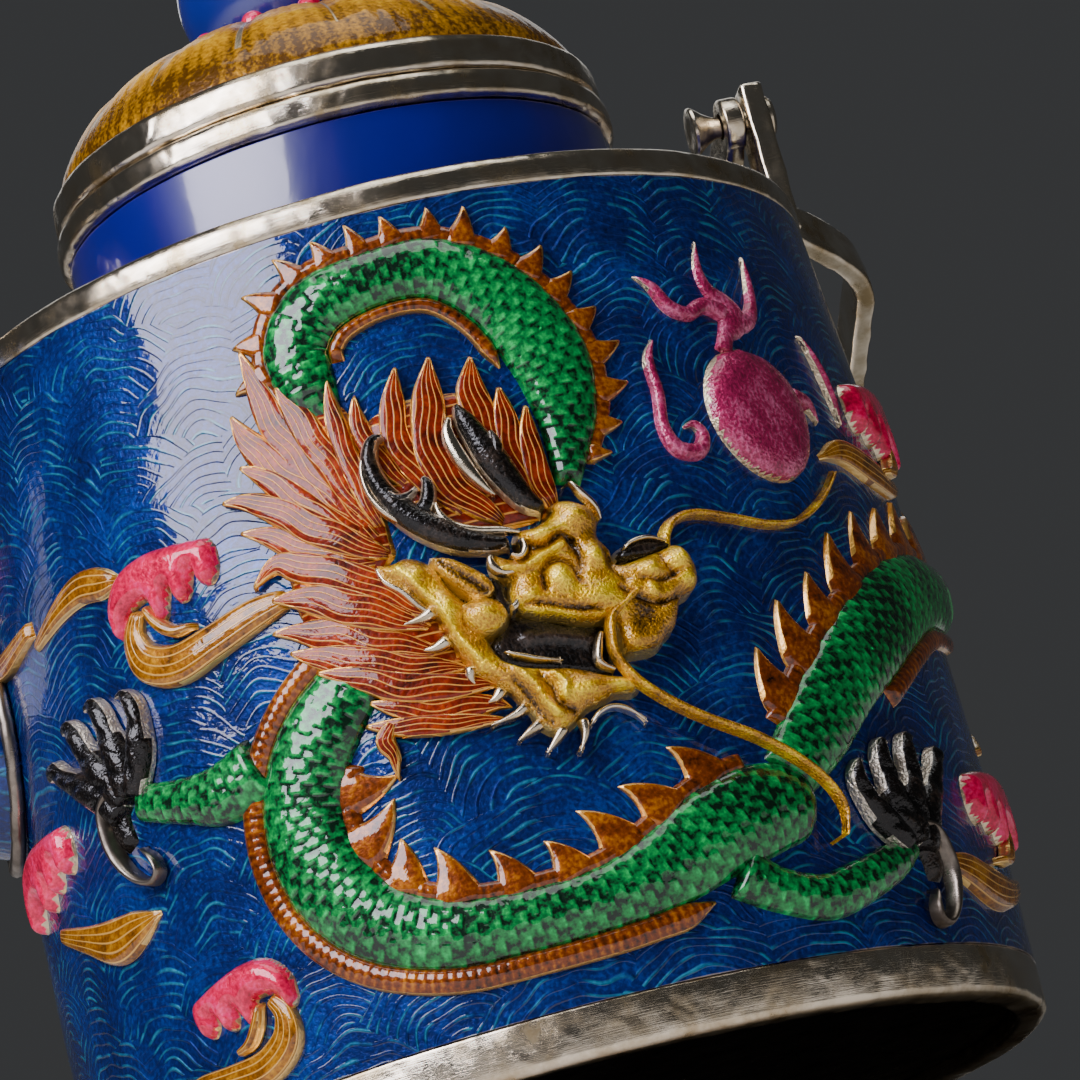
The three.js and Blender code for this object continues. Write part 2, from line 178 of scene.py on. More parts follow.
def emptyMaterial(name):
    material = bpy.data.materials.new(name)
    material.use_nodes = True
    return material, material.node_tree, material.node_tree.nodes["Principled BSDF"]


enamel = {
    "glassIor": 1.52,          # lead glass enamel
    "grainSize": 0.42,         # mm, the pits of the stippled metal under the glass
    "cloudSize": 6.0,          # mm, thick and thin places in the glass
    "swirlSize": 7.5,          # mm, the flow the firing leaves in the gloss
    "wireWidth": 0.13,         # part of the gap between two chased lines
    "wear": 0.5,               # how unevenly the edges are stoned back
    "flow": 0.26,              # depth of the firing's flow in the gloss
    "floodedFlow": 0.12,       # the same on the plain flooded pieces
}


def enamelOverMetal(name, deep, middle, bright, grain=0.35, roughness=0.36, metal=0.3, waves=False, wires=None,
                    bare="#cdbb98", pit=None, coat=1.0, sunk=0.05):
    # clear glass fired over chased silver: the metal's grain glitters through a smooth gloss
    material, tree, shader = emptyMaterial(name)
    place = addNode(tree, "ShaderNodeTexCoord", out=3)
    toneAndShade = addNode(tree, "ShaderNodeAttribute", out=2, attribute_name="toneAndShade")
    edge = addNode(tree, "ShaderNodeAttribute", out=2, attribute_name="edge")
    pits = addNode(tree, "ShaderNodeTexNoise", {"Vector": place, "Scale": 1000 / (pit or enamel["grainSize"]),
                                                "Detail": 2.0})
    cloud = addNode(tree, "ShaderNodeTexNoise", {"Vector": place, "Scale": 1000 / enamel["cloudSize"], "Detail": 3.0})
    # toneAndShade lightens or darkens the glass colour: random tone, and on relief pieces painted shade in the hollows
    # and painted highlights on the rises
    level = addNode(tree, "ShaderNodeMath", [cloud, 0.8, toneAndShade], operation="MULTIPLY_ADD")
    level = addNode(tree, "ShaderNodeMath", [pits, 0.9, level], operation="MULTIPLY_ADD")
    level = addNode(tree, "ShaderNodeMath", [level, 0.85], operation="SUBTRACT", use_clamp=True)
    colour = addNode(tree, "ShaderNodeValToRGB", [level])
    ramp = colour.node.color_ramp
    ramp.elements.new(0.5)
    for element, spot, code in zip(ramp.elements, (0.1, 0.5, 0.95), (deep, middle, bright)):
        element.position = spot
        element.color = linear(code)
    height = pits
    if waves:
        colour, height = waveLines(tree, colour, pits)
    if wires:
        # thin chased lines run the length of a lock or a ribbon and close up at its tip
        flat = addNode(tree, "ShaderNodeUVMap")
        across = addNode(tree, "ShaderNodeSeparateXYZ", [flat], out=1)
        gap = addNode(tree, "ShaderNodeMath", [across, 0.5], operation="PINGPONG")
        wire = addNode(tree, "ShaderNodeMapRange", {"Value": gap, "From Min": enamel["wireWidth"], "From Max": 0.05})
        colour = addNode(tree, "ShaderNodeMix", {0: wire, 6: colour, 7: linear(wires)}, out=2, data_type="RGBA")
        height = addNode(tree, "ShaderNodeMath", [wire, 3.0, pits], operation="MULTIPLY_ADD")
    # bare metal shows along the chased edges, where the glass was stoned back
    wear = enamel["wear"]
    worn = addNode(tree, "ShaderNodeMath", [cloud, wear, edge], operation="MULTIPLY_ADD")
    shown = addNode(tree, "ShaderNodeMapRange", {"Value": worn, "From Min": 0.55 + wear / 2,
                                                 "From Max": 0.75 + wear / 2})
    surface = addNode(tree, "ShaderNodeMix", {0: shown, 6: colour, 7: linear(bare)}, out=2, data_type="RGBA")
    tree.links.new(surface, shader.inputs["Base Color"])
    tree.links.new(addNode(tree, "ShaderNodeMath", [shown, metal], operation="MAXIMUM"), shader.inputs["Metallic"])
    chased = addNode(tree, "ShaderNodeBump", {"Height": height, "Strength": grain, "Distance": 0.0002})
    tree.links.new(chased, shader.inputs["Normal"])
    swirl = addNode(tree, "ShaderNodeTexNoise", {"Vector": place, "Scale": 1000 / enamel["swirlSize"], "Detail": 4.0,
                                                 "Distortion": 1.6})
    dipped = addNode(tree, "ShaderNodeMath", [height, sunk, swirl], operation="MULTIPLY_ADD")
    gloss = addNode(tree, "ShaderNodeBump", {"Height": dipped, "Strength": enamel["flow"], "Distance": 0.0004})
    tree.links.new(gloss, shader.inputs["Coat Normal"])
    shader.inputs["Roughness"].default_value = roughness
    shader.inputs["Specular IOR Level"].default_value = 0.1
    shader.inputs["Coat Weight"].default_value = coat
    shader.inputs["Coat Roughness"].default_value = 0.035
    shader.inputs["Coat IOR"].default_value = enamel["glassIor"]
    return material


waveLook = {
    "bundle": 10.5,            # mm across one bundle of arcs
    "flatten": 1.9,            # bundles are this much wider than tall
    "pitch": 0.95,             # mm between two lines
    "below": 6.5,              # mm, how far under its bundle an arc's centre lies
    "turn": 1.3,               # radians, how much the bundles lean
    "line": "#055a86", "pale": "#34a8bc",
}


def waveLines(tree, ground, pits):
    # the chased sea: bundles of arcs, each bundle hiding part of the next, under the blue glass
    flat = addNode(tree, "ShaderNodeUVMap")
    warp = addNode(tree, "ShaderNodeTexNoise", {"Vector": flat, "Scale": 0.16, "Detail": 1.0}, out=1,
                   noise_dimensions="2D")
    shift = addNode(tree, "ShaderNodeVectorMath", {0: warp, "Scale": 2.4}, operation="SCALE")
    bent = addNode(tree, "ShaderNodeVectorMath", [flat, shift], operation="ADD")
    tall = addNode(tree, "ShaderNodeVectorMath", [bent, (1, waveLook["flatten"], 1)], operation="MULTIPLY")
    cells = addNode(tree, "ShaderNodeTexVoronoi", {"Vector": tall, "Scale": 1 / waveLook["bundle"],
                                                   "Randomness": 0.85}, voronoi_dimensions="2D").node
    offset = addNode(tree, "ShaderNodeVectorMath", [tall, cells.outputs["Position"]], operation="SUBTRACT")
    local = addNode(tree, "ShaderNodeVectorMath", [offset, (1, 1 / waveLook["flatten"], 1)], operation="MULTIPLY")
    one = addNode(tree, "ShaderNodeSeparateColor", [cells.outputs["Color"]])
    lean = addNode(tree, "ShaderNodeMath", [one, waveLook["turn"], -waveLook["turn"] / 2], operation="MULTIPLY_ADD")
    turned = addNode(tree, "ShaderNodeVectorRotate", {"Vector": local, "Angle": lean}, rotation_type="Z_AXIS")
    low = addNode(tree, "ShaderNodeVectorMath", [turned, (0, waveLook["below"], 0)], operation="ADD")
    distance = addNode(tree, "ShaderNodeVectorMath", [low], out=1, operation="LENGTH")
    phase = addNode(tree, "ShaderNodeMath", [distance, 2 * math.pi / waveLook["pitch"]], operation="MULTIPLY")
    ring = addNode(tree, "ShaderNodeMath", [phase], operation="SINE")
    ridge = addNode(tree, "ShaderNodeMapRange", {"Value": ring, "From Min": 0.45, "From Max": 0.98})
    fade = addNode(tree, "ShaderNodeTexNoise", {"Vector": flat, "Scale": 0.3, "Detail": 3.0}, noise_dimensions="2D")
    shown = addNode(tree, "ShaderNodeMapRange", {"Value": fade, "From Min": 0.45, "From Max": 0.72})
    line = addNode(tree, "ShaderNodeMath", [ridge, shown], operation="MULTIPLY")
    line = addNode(tree, "ShaderNodeMath", [line, 0.75], operation="MULTIPLY")
    tint = addNode(tree, "ShaderNodeMix", {0: pits, 6: linear(waveLook["line"]), 7: linear(waveLook["pale"])}, out=2,
                   data_type="RGBA")
    colour = addNode(tree, "ShaderNodeMix", {0: line, 6: ground, 7: tint}, out=2, data_type="RGBA")
    return colour, addNode(tree, "ShaderNodeMath", [ridge, 2.6, pits], operation="MULTIPLY_ADD")


def floodedEnamel(name, code, gloss=0.03):
    # opaque glass enamel, flooded smooth and fired: one even colour under a hard gloss
    material, tree, shader = emptyMaterial(name)
    place = addNode(tree, "ShaderNodeTexCoord", out=3)
    cloud = addNode(tree, "ShaderNodeTexNoise", {"Vector": place, "Scale": 90.0, "Detail": 3.0})
    shade = addNode(tree, "ShaderNodeMapRange", {"Value": cloud, "To Min": 0.7, "To Max": 1.25})
    colour = addNode(tree, "ShaderNodeVectorMath", {0: linear(code)[:3], "Scale": shade}, operation="SCALE")
    tree.links.new(colour, shader.inputs["Base Color"])
    swirl = addNode(tree, "ShaderNodeTexNoise", {"Vector": place, "Scale": 120.0, "Detail": 3.0, "Distortion": 1.0})
    bump = addNode(tree, "ShaderNodeBump", {"Height": swirl, "Strength": enamel["floodedFlow"], "Distance": 0.0004})
    for socket in ("Normal", "Coat Normal"):
        tree.links.new(bump, shader.inputs[socket])
    shader.inputs["Roughness"].default_value = 0.3
    shader.inputs["Coat Weight"].default_value = 1.0
    shader.inputs["Coat Roughness"].default_value = gloss
    shader.inputs["Coat IOR"].default_value = enamel["glassIor"]
    return material


def hammeredMetal(name, bright, dull, hammer=0.35, roughness=0.17):
    # plate polished over hammer marks: broad soft dents, fine turned scratches, brown in the hollows
    material, tree, shader = emptyMaterial(name)
    place = addNode(tree, "ShaderNodeTexCoord", out=3)
    dents = addNode(tree, "ShaderNodeTexNoise", {"Vector": place, "Scale": 300.0, "Detail": 1.0, "Distortion": 0.4})
    stain = addNode(tree, "ShaderNodeTexNoise", {"Vector": place, "Scale": 210.0, "Detail": 6.0, "Roughness": 0.65})
    long = addNode(tree, "ShaderNodeMapping", {"Vector": place, "Scale": (300.0, 300.0, 9000.0)})
    scratch = addNode(tree, "ShaderNodeTexNoise", {"Vector": long, "Scale": 1.0, "Detail": 4.0, "Roughness": 0.7})
    mask = addNode(tree, "ShaderNodeMapRange", {"Value": stain, "From Min": 0.34, "From Max": 0.6})
    colour = addNode(tree, "ShaderNodeMix", {0: mask, 6: linear(dull), 7: linear(bright)}, out=2, data_type="RGBA")
    tree.links.new(colour, shader.inputs["Base Color"])
    rough = addNode(tree, "ShaderNodeMapRange", {"Value": mask, "To Min": roughness + 0.14, "To Max": roughness - 0.04})
    tree.links.new(rough, shader.inputs["Roughness"])
    shader.inputs["Metallic"].default_value = 1.0
    height = addNode(tree, "ShaderNodeMath", [scratch, 0.07, dents], operation="MULTIPLY_ADD")
    bump = addNode(tree, "ShaderNodeBump", {"Height": height, "Strength": hammer, "Distance": 0.0009})
    tree.links.new(bump, shader.inputs["Normal"])
    return material


finishes = {
    "seaEnamel": enamelOverMetal("blueGlassOverChasedSea", "#000828", "#001c5c", "#00409a", grain=0.5, waves=True),
    "scaleEnamel": enamelOverMetal("greenGlassOverScales", "#001c0c", "#018a3e", "#10e070", grain=0.3, metal=0.25,
                                   roughness=0.42),
    "amberEnamel": enamelOverMetal("amberGlassOverRibs", "#1c0800", "#743200", "#c0740c", grain=0.35, metal=0.25,
                                   bare="#e0a850"),
    "maneEnamel": enamelOverMetal("russetGlassOverLocks", "#300800", "#701800", "#a83a00", grain=0.4, metal=0.15,
                                  wires="#d08c3c", bare="#e0a850", coat=0.5),
    "goldEnamel": enamelOverMetal("yellowGlassOverStipple", "#3c2400", "#c08600", "#ffdc18", grain=1.0,
                                  roughness=0.3, metal=0.65, bare="#f0d070", pit=0.26, sunk=1.1),
    "hornEnamel": enamelOverMetal("blackGlassOverHorn", "#030202", "#0b0705", "#3c3028", metal=0.2, bare="#cfc4b4",
                                  grain=1.0, pit=0.34, sunk=0.9, coat=0.6),
    "roseEnamel": enamelOverMetal("roseGlassOverStipple", "#5c0a2c", "#a01c50", "#e87aa4", grain=1.0,
                                  roughness=0.36, metal=0.4, pit=0.34, sunk=1.3),
    "pinkEnamel": enamelOverMetal("pinkGlass", "#80001c", "#dc0048", "#ff4088", grain=0.6, metal=0.15),
    "honeyEnamel": enamelOverMetal("honeyGlassOverLines", "#2c1600", "#885000", "#c48810", grain=0.4, wires="#d09c48",
                                   bare="#e8c070", metal=0.2),
    "domeEnamel": enamelOverMetal("mustardGlassOverPetals", "#4c2e00", "#b07a04", "#e0ac18", grain=0.5, metal=0.2,
                                  coat=0.35),
    "cobaltEnamel": floodedEnamel("floodedCobaltGlass", "#08046c", gloss=0.09),
    "knobEnamel": floodedEnamel("floodedRoyalBlueGlass", "#0a1c78"),
    "silver": hammeredMetal("hammeredSilverPlate", "#e8dcc6", "#a8946f"),
    "greySilver": hammeredMetal("wornSilverPlate", "#8f857a", "#4e463e", hammer=0.2, roughness=0.3),
    "brass": hammeredMetal("turnedBrass", "#c9a24c", "#8a6a2a", hammer=0.1),
}
print("materials made")


def turnedPiece(profile, turns=None, ring=True):
    # a profile of (radius, height) spun about the pot's axis
    mesh = bpy.data.meshes.new("profile")
    points = [(r * mm, 0, (z - pot["footDrop"]) * mm) for r, z in profile]
    edges = [(i, i + 1) for i in range(len(points) - 1)] + ([(len(points) - 1, 0)] if ring else [])
    mesh.from_pydata(points, edges, [])
    piece = bpy.data.objects.new("profile", mesh)
    bpy.context.scene.collection.objects.link(piece)
    pick([piece])
    bpy.ops.object.mode_set(mode="EDIT")
    bpy.ops.mesh.select_all(action="SELECT")
    bpy.ops.mesh.spin(steps=turns or pot["turns"], angle=2 * math.pi, center=(0, 0, 0), axis=(0, 0, 1))
    bpy.ops.object.mode_set(mode="OBJECT")
    tidyMesh(piece)
    return piece


def rounded(corners, radius):
    # the corners of a closed profile rounded off
    result = []
    count = len(corners)
    for i in range(count):
        before, here, after = (np.array(corners[(i + k) % count], float) for k in (-1, 0, 1))
        reach = min(radius, np.linalg.norm(before - here) / 2.2, np.linalg.norm(after - here) / 2.2)
        start = here + (before - here) / np.linalg.norm(before - here) * reach
        end = here + (after - here) / np.linalg.norm(after - here) * reach
        for t in np.linspace(0, 1, 4):
            result.append(tuple((1 - t) ** 2 * start + 2 * t * (1 - t) * here + t ** 2 * end))
    return result


def handMade(piece, amount, size):
    # the slight unevenness of hammered and filed metal
    places = readPlaces(piece)
    angle = np.arctan2(places[:, 1], places[:, 0]) * 40
    height = places[:, 2] / mm
    lift = wobble(angle, height, size) * amount * mm
    radius = np.maximum(np.hypot(places[:, 0], places[:, 1]), 1e-6)
    places[:, 0] += places[:, 0] / radius * lift
    places[:, 1] += places[:, 1] / radius * lift
    places[:, 2] += wobble(angle + 9, height * 0.3, size * 1.4) * amount * 0.6 * mm
    writePlaces(piece, places)


ringProfiles = {
    "footBand": [(42.2, 0), (44.3, 0), (45.0, 0.5), (45.05, 2.0), (45.12, 4.75), (43.6, 4.75), (43.6, 8.8),
                 (42.4, 8.8), (41.9, 6.5), (41.9, 0.4)],
    "rimBand": [(41.2, 80.2), (42.9, 80.2), (43.05, 80.9), (43.05, 82.3), (42.6, 83.1), (41.2, 83.1)],
    "shoulder": [(27.5, 83.4), (37, 82.0), (41, 81.2), (41, 82.3), (37, 83.1), (27.5, 84.6)],
    "neck": [(26.1, 82.4), (27.3, 82.4), (27.3, 95.1), (26.1, 95.1)],
    "neckRing": [(25.9, 95.2), (27.5, 95.2), (28.06, 95.7), (28.06, 97.5), (27.7, 98.15), (25.9, 98.15)],
    "lidRing": [(24.3, 98.3), (27.3, 98.3), (27.72, 98.8), (27.6, 101.3), (27.1, 101.95), (24.3, 101.95)],
}


def makeRings():
    table = [
        ("footBand", "foot_band", "vessel", "silver", "silver", "base_band", 0.07, 0.35),
        ("rimBand", "rim_band", "vessel", "silver", "silver", "shoulder_rim", 0.07, 0.5),
        ("shoulder", "shoulder_ring", "vessel", "cobalt_enamel", "cobaltEnamel", "shoulder_plate", 0.03, 0.2),
        ("neck", "neck_tube", "vessel", "cobalt_enamel", "cobaltEnamel", "neck_collar", 0.03, 0.2),
        ("neckRing", "neck_top_ring", "vessel", "silver", "silver", "neck_ring", 0.06, 0.4),
        ("lidRing", "lid_edge_ring", "lid", "silver", "silver", "lid_ring", 0.06, 0.4),
    ]
    for key, name, body, slot, finish, node, uneven, corner in table:
        piece = turnedPiece(rounded(ringProfiles[key], corner))
        handMade(piece, uneven, 5.0)
        finishPiece(piece, name, body, finishes[finish], [node], smoothAngle=40)


makeRings()


def makeUnderside():
    # the sunk disc: spun, with faint turned rings
    profile = [(0.0, 1.6)] + [(r, 1.6 + 0.03 * math.sin(r * 1.9)) for r in np.linspace(2, 41.2, 28)]
    profile += [(41.6, 1.8), (41.6, 2.8), (0.0, 2.8)]
    piece = turnedPiece(profile, ring=False)
    finishPiece(piece, "underside_disc", "vessel", finishes["greySilver"], ["base_plate"], 50)


makeUnderside()


wallLook = {"step": 0.7, "low": 4.75, "high": 80.2, "uneven": 0.09, "dentSpan": 75.4, "bareEdge": 0.3}
strainer = {"radius": 1.3, "pitch": 4.2, "height": 48.6}


def makeWall():
    around = 2 * math.pi * pot["unrollRadius"]
    low, high = wallLook["low"], wallLook["high"]
    bpy.ops.mesh.primitive_grid_add(x_subdivisions=int(around / wallLook["step"]),
                                    y_subdivisions=int((high - low) / wallLook["step"]), size=1)
    piece = bpy.context.object
    flat = readPlaces(piece)
    s = (flat[:, 0] + 0.5) * around - around / 2
    height = low + (flat[:, 1] + 0.5) * (high - low)
    turn = s / pot["unrollRadius"]
    dent = (np.sin(turn * 9 + np.sin(height / 9)) * np.cos(height / 6.5 + 2 * np.sin(turn * 3))
            + 0.6 * np.sin(turn * 23 + height / 4.1))
    out = wallLook["uneven"] * dent * np.sin(math.pi * np.clip((height - low) / wallLook["dentSpan"], 0, 1)) ** 0.3
    writePlaces(piece, onWall(s, height, out))
    writeUv(piece, s, height)
    writeNumber(piece, "toneAndShade", np.full(len(s), 0.5))
    bare = wallLook["bareEdge"]
    writeNumber(piece, "edge", np.where((height < low + bare) | (height > high - bare), 0.62, 0.0))
    tidyMesh(piece, 0.00002)
    skin = piece.modifiers.new("wall", "SOLIDIFY")
    skin.thickness = pot["wall"] * mm
    skin.offset = -1
    applyModifiers(piece)
    # the strainer: nine holes inside the spout's root
    drills = []
    for row in (-1, 0, 1):
        for column in (-1, 0, 1):
            spot = (-pot["lowRadius"] * mm, column * strainer["pitch"] * mm,
                    (strainer["height"] - pot["footDrop"] + row * strainer["pitch"]) * mm)
            bpy.ops.mesh.primitive_cylinder_add(vertices=24, radius=strainer["radius"] * mm, depth=12 * mm,
                                                location=spot, rotation=(0, math.pi / 2, 0))
            drills.append(bpy.context.object)
    pick(drills)
    bpy.ops.object.join()
    cut = piece.modifiers.new("strainer", "BOOLEAN")
    cut.operation = "DIFFERENCE"
    cut.object = drills[0]
    applyModifiers(piece)
    bpy.data.objects.remove(drills[0])
    finishPiece(piece, "body_wall", "vessel", finishes["seaEnamel"], ["body_shell"], 40)


makeWall()


dragon = {
    "proud": 2.1, "legProud": 1.7,             # mm out from the wall
    "scaleLength": 2.1, "scaleWidth": 1.9, "scaleDepth": 0.22,
    "ribPitch": 0.85,
    "finWidth": 0.43,                          # half-width of a leaf as a part of their spacing
    "bellyOffset": 0.9, "bellyHalf": 1.25,
}


def overlappingScales(along, across):
    # each scale is a tilted disc; the one nearest the head lies on top of the next
    length, width = dragon["scaleLength"], dragon["scaleWidth"]
    height, toneAndShade = np.zeros_like(along), np.zeros_like(along)
    found = np.zeros(along.shape, bool)
    row = np.floor(along / (length / 2))
    for back in range(4):
        here = row - back
        cell = across / width - np.mod(here, 2) * 0.5
        side = (cell - np.round(cell)) * width
        ahead = along - here * (length / 2)
        inside = (np.abs(side) / (width * 0.56)) ** 2 + (ahead / (length * 0.92)) ** 2 < 1
        use = inside & ~found
        rise = np.clip(ahead / (length * 0.92), 0, 1)
        crown = 1 - (np.abs(side) / (width * 0.6)) ** 2
        height = np.where(use, (0.3 + 0.7 * rise) * crown, height)
        # painted shade and painted highlight: each scale darkens towards its root, where it tucks under the one above,
        # and is lightest at its crown
        toneAndShade = np.where(use, 0.95 * (0.2 + 0.8 * rise) * crown ** 1.5, toneAndShade)
        found |= use
    return height, toneAndShade


def crossRibs(along, across):
    # every skin is given both places; ribs only need the one along
    phase = np.abs(np.mod(along / dragon["ribPitch"], 1) - 0.5) * 2
    # painted shade: the colour is darker in the grooves between the ribs and lighter on their ridges
    return phase ** 0.6, 0.25 + 0.4 * phase


def plainSkin(along, across):
    return np.zeros_like(along), 0.5 + 0.2 * wobble(along, across, 1.6)


def faceOutward(piece):
    # raised sheets have no undercuts, so a face that looks at the pot's axis is turned round
    pick([piece])
    faces = piece.data.polygons
    normals, centres = np.empty(len(faces) * 3), np.empty(len(faces) * 3)
    faces.foreach_get("normal", normals)
    faces.foreach_get("center", centres)
    normals, centres = normals.reshape(-1, 3), centres.reshape(-1, 3)
    wrong = (normals[:, :2] * centres[:, :2]).sum(1) < 0
    if wrong.any():
        bpy.ops.object.mode_set(mode="EDIT")
        bpy.ops.mesh.select_mode(type="FACE")
        bpy.ops.mesh.select_all(action="DESELECT")
        bpy.ops.object.mode_set(mode="OBJECT")
        faces.foreach_set("select", wrong)
        bpy.ops.object.mode_set(mode="EDIT")
        bpy.ops.mesh.flip_normals()
        bpy.ops.mesh.select_mode(type="VERT")
        bpy.ops.object.mode_set(mode="OBJECT")


def strand(route, proud, lift=0.0, skin=plainSkin, depth=0.0, step=0.3, across=14, edge=0.0, wires=0.0,
           ends=(0.0, 0.0), flat=2.0, sway=0.0):
    # one raised strip; the route is a list of (s, height, half-width)
    lengths, line = smoothLine(route, step)
    total = lengths[-1]
    bpy.ops.mesh.primitive_grid_add(x_subdivisions=len(lengths) - 1, y_subdivisions=across, size=1)
    piece = bpy.context.object
    spots = readPlaces(piece)
    u = (spots[:, 0] + 0.5) * total
    v = spots[:, 1] * 2
    s, z, half = (np.interp(u, lengths, line[:, k]) for k in range(3))
    headS = np.interp(u, lengths, np.gradient(line[:, 0], lengths))
    headZ = np.interp(u, lengths, np.gradient(line[:, 1], lengths))
    size = np.maximum(np.hypot(headS, headZ), 1e-6)
    half = np.maximum(half, 0.04)
    side = v * half
    fine, toneAndShade = skin(u, side)
    crown = np.clip(1 - np.abs(v) ** flat, 0, 1) ** 0.5
    # a thin part of the strip stands less proud than a wide one
    fullness = np.clip(half / max(np.max(line[:, 2]), 0.01), 0, 1) ** 0.5
    close = np.minimum(np.clip(u / max(ends[0], 1e-3), 0, 1), np.clip((total - u) / max(ends[1], 1e-3), 0, 1))
    out = (lift + proud * crown * fullness) * np.sqrt(close) + depth * (fine - 0.5) * crown - 0.35 * (crown < 0.02)
    writePlaces(piece, onWall(s + headZ / size * side, z - headS / size * side, out))
    # the chased lines sway a little from side to side
    writeUv(piece, u, v * wires + sway * np.sin(u * 1.1 + line[0, 1]) if wires else side)
    writeNumber(piece, "toneAndShade", toneAndShade)
    writeNumber(piece, "edge", (np.abs(v) > 1 - edge / np.maximum(half, 0.1)) * float(edge > 0))
    return piece


def awayFrom(line, s, z):
    # how far each spot is from a line of points
    nearest = np.full(len(s), 1e9)
    for a, b in zip(line[:-1], line[1:]):
        run = b - a
        t = np.clip(((s - a[0]) * run[0] + (z - a[1]) * run[1]) / max(run @ run, 1e-9), 0, 1)
        nearest = np.minimum(nearest, np.hypot(s - a[0] - t * run[0], z - a[1] - t * run[1]))
    return nearest


def field(outline, proud, swell=1.2, lift=0.0, step=0.25, rim=0.25, bumps=(), folds=()):
    # a raised field inside a closed outline. bumps: (s, height, wide, tall, rise); folds: (route, width, rise)
    line = smoothLine([*outline, outline[0]], 0.25)[1][:, :2]
    low, high = line.min(0) - 0.6, line.max(0) + 0.6
    counts = np.ceil((high - low) / step).astype(int)
    bpy.ops.mesh.primitive_grid_add(x_subdivisions=int(counts[0]), y_subdivisions=int(counts[1]), size=1)
    piece = bpy.context.object
    spots = readPlaces(piece)
    s = low[0] + (spots[:, 0] + 0.5) * (high[0] - low[0])
    z = low[1] + (spots[:, 1] + 0.5) * (high[1] - low[1])
    inside = np.zeros(len(s), bool)
    for a, b in zip(line[:-1], line[1:]):
        if a[1] != b[1]:
            inside ^= ((a[1] > z) != (b[1] > z)) & (s < (b[0] - a[0]) * (z - a[1]) / (b[1] - a[1]) + a[0])
    away = awayFrom(line, s, z) * np.where(inside, 1, -1)
    near = np.clip(away / swell, 0, 1)
    settle = np.clip(away / 0.6, 0, 1)
    out = lift + proud * np.sqrt(1 - (1 - near) ** 2)
    toneAndShade = 0.5 + 0.15 * wobble(s, z, 1.6)
    for bumpS, bumpZ, wide, tall, rise in bumps:
        bell = np.exp(-((s - bumpS) / wide) ** 2 - ((z - bumpZ) / tall) ** 2)
        out += settle * rise * bell
        # painted highlight and painted shade: a raised bump is lighter, a sunk one darker
        toneAndShade += 0.35 * np.sign(rise) * bell
    for route, width, rise in folds:
        bell = np.exp(-(awayFrom(smoothLine(route, 0.3)[1][:, :2], s, z) / width) ** 2)
        out += settle * rise * bell
        # painted highlight and painted shade: a raised fold is lighter, a sunk crease darker
        toneAndShade += 0.35 * np.sign(rise) * bell
    out = np.where(away < 0, lift + (lift + 0.5) * np.maximum(away, -0.45) / 0.35, out)
    writePlaces(piece, onWall(s, z, out))
    writeUv(piece, s, z)
    writeNumber(piece, "toneAndShade", np.clip(toneAndShade, 0, 1))
    writeNumber(piece, "edge", (away < rim) * 1.0)
    pick([piece])
    bpy.ops.object.mode_set(mode="EDIT")
    bpy.ops.mesh.select_all(action="DESELECT")
    bpy.ops.object.mode_set(mode="OBJECT")
    piece.data.vertices.foreach_set("select", away < -0.45)
    bpy.ops.object.mode_set(mode="EDIT")
    bpy.ops.mesh.delete(type="VERT")
    bpy.ops.object.mode_set(mode="OBJECT")
    return piece


def joinStrands(pieces, name, finish):
    # the parts of one raised piece joined, and the sheet given its thickness inwards
    pick(pieces)
    if len(pieces) > 1:
        bpy.ops.object.join()
    piece = bpy.context.view_layer.objects.active
    tidyMesh(piece, 0.000005)
    faceOutward(piece)
    skin = piece.modifiers.new("sheet", "SOLIDIFY")
    skin.thickness = pot["reliefSheet"] * mm
    skin.offset = -1
    applyModifiers(piece)
    finishPiece(piece, name, "vessel", finishes[finish], ["body_shell"], 60)


# routes on the unrolled wall: (s, height, half-width)
bodyRoutes = {
    "arch": [(-6.2, 61.0, 1.8), (-6.9, 65.2, 2.7), (-7.2, 69, 3.2), (-4.6, 72.3, 3.2), (1, 73.6, 2.8), (7, 73.2, 3.1),
             (12, 69.4, 3.7), (14.9, 63.5, 4.0), (15.2, 58.2, 3.2), (14.4, 54.2, 2.1), (13.4, 50.6, 1.2)],
    "curl": [(-5.6, 40.6, 1.8), (-8.6, 38.6, 2.7), (-12.2, 35.6, 3.5), (-15.2, 31.8, 3.9), (-16.8, 26.5, 4.0),
             (-15.6, 20.8, 4.0), (-12.2, 16.4, 3.6), (-6.5, 13.7, 3.2), (0, 13.0, 2.9), (7, 13.3, 3.0),
             (13, 14.8, 3.7), (18, 17.0, 4.3), (23, 18.4, 4.3), (26.6, 18.4, 3.4), (28.6, 18.2, 1.2)],
    "climb": [(26.5, 21.0, 2.8), (31, 25.2, 3.7), (36, 29.8, 4.1), (42, 34.0, 4.4), (48, 37.4, 4.4), (55, 39.6, 3.9),
              (64, 40.6, 3.7), (76, 44, 3.6)],
    "tail": [(64, 40.6, 3.6), (76, 44, 3.6), (90, 51, 3.6), (101, 60, 3.5), (111, 63.5, 3.4), (121, 58.5, 3.3),
             (128, 46, 3.2), (135, 32, 3.1), (144, 22.5, 2.9), (154, 20.5, 2.7), (164, 26.5, 2.3), (172, 37, 1.9),
             (180, 49, 1.5), (189, 58.5, 1.0), (199, 63, 0.3)],
}
legRoutes = [
    [(19.0, 13.2, 2.6), (22.5, 11.0, 2.2), (27, 9.8, 2.2), (31.5, 10.8, 2.1), (36, 12.4, 1.8), (39, 14.0, 1.2)],
    [(-19.5, 33.6, 3.0), (-23.5, 32.4, 3.0), (-28, 33.2, 2.2), (-33.6, 34.9, 1.7)],
    [(109, 60, 2.6), (113, 53, 2.4), (109, 47, 1.9), (103, 43, 1.6)],
    [(152, 21, 2.4), (158, 30, 2.2), (155, 37, 1.8), (150, 41, 1.5)],
]


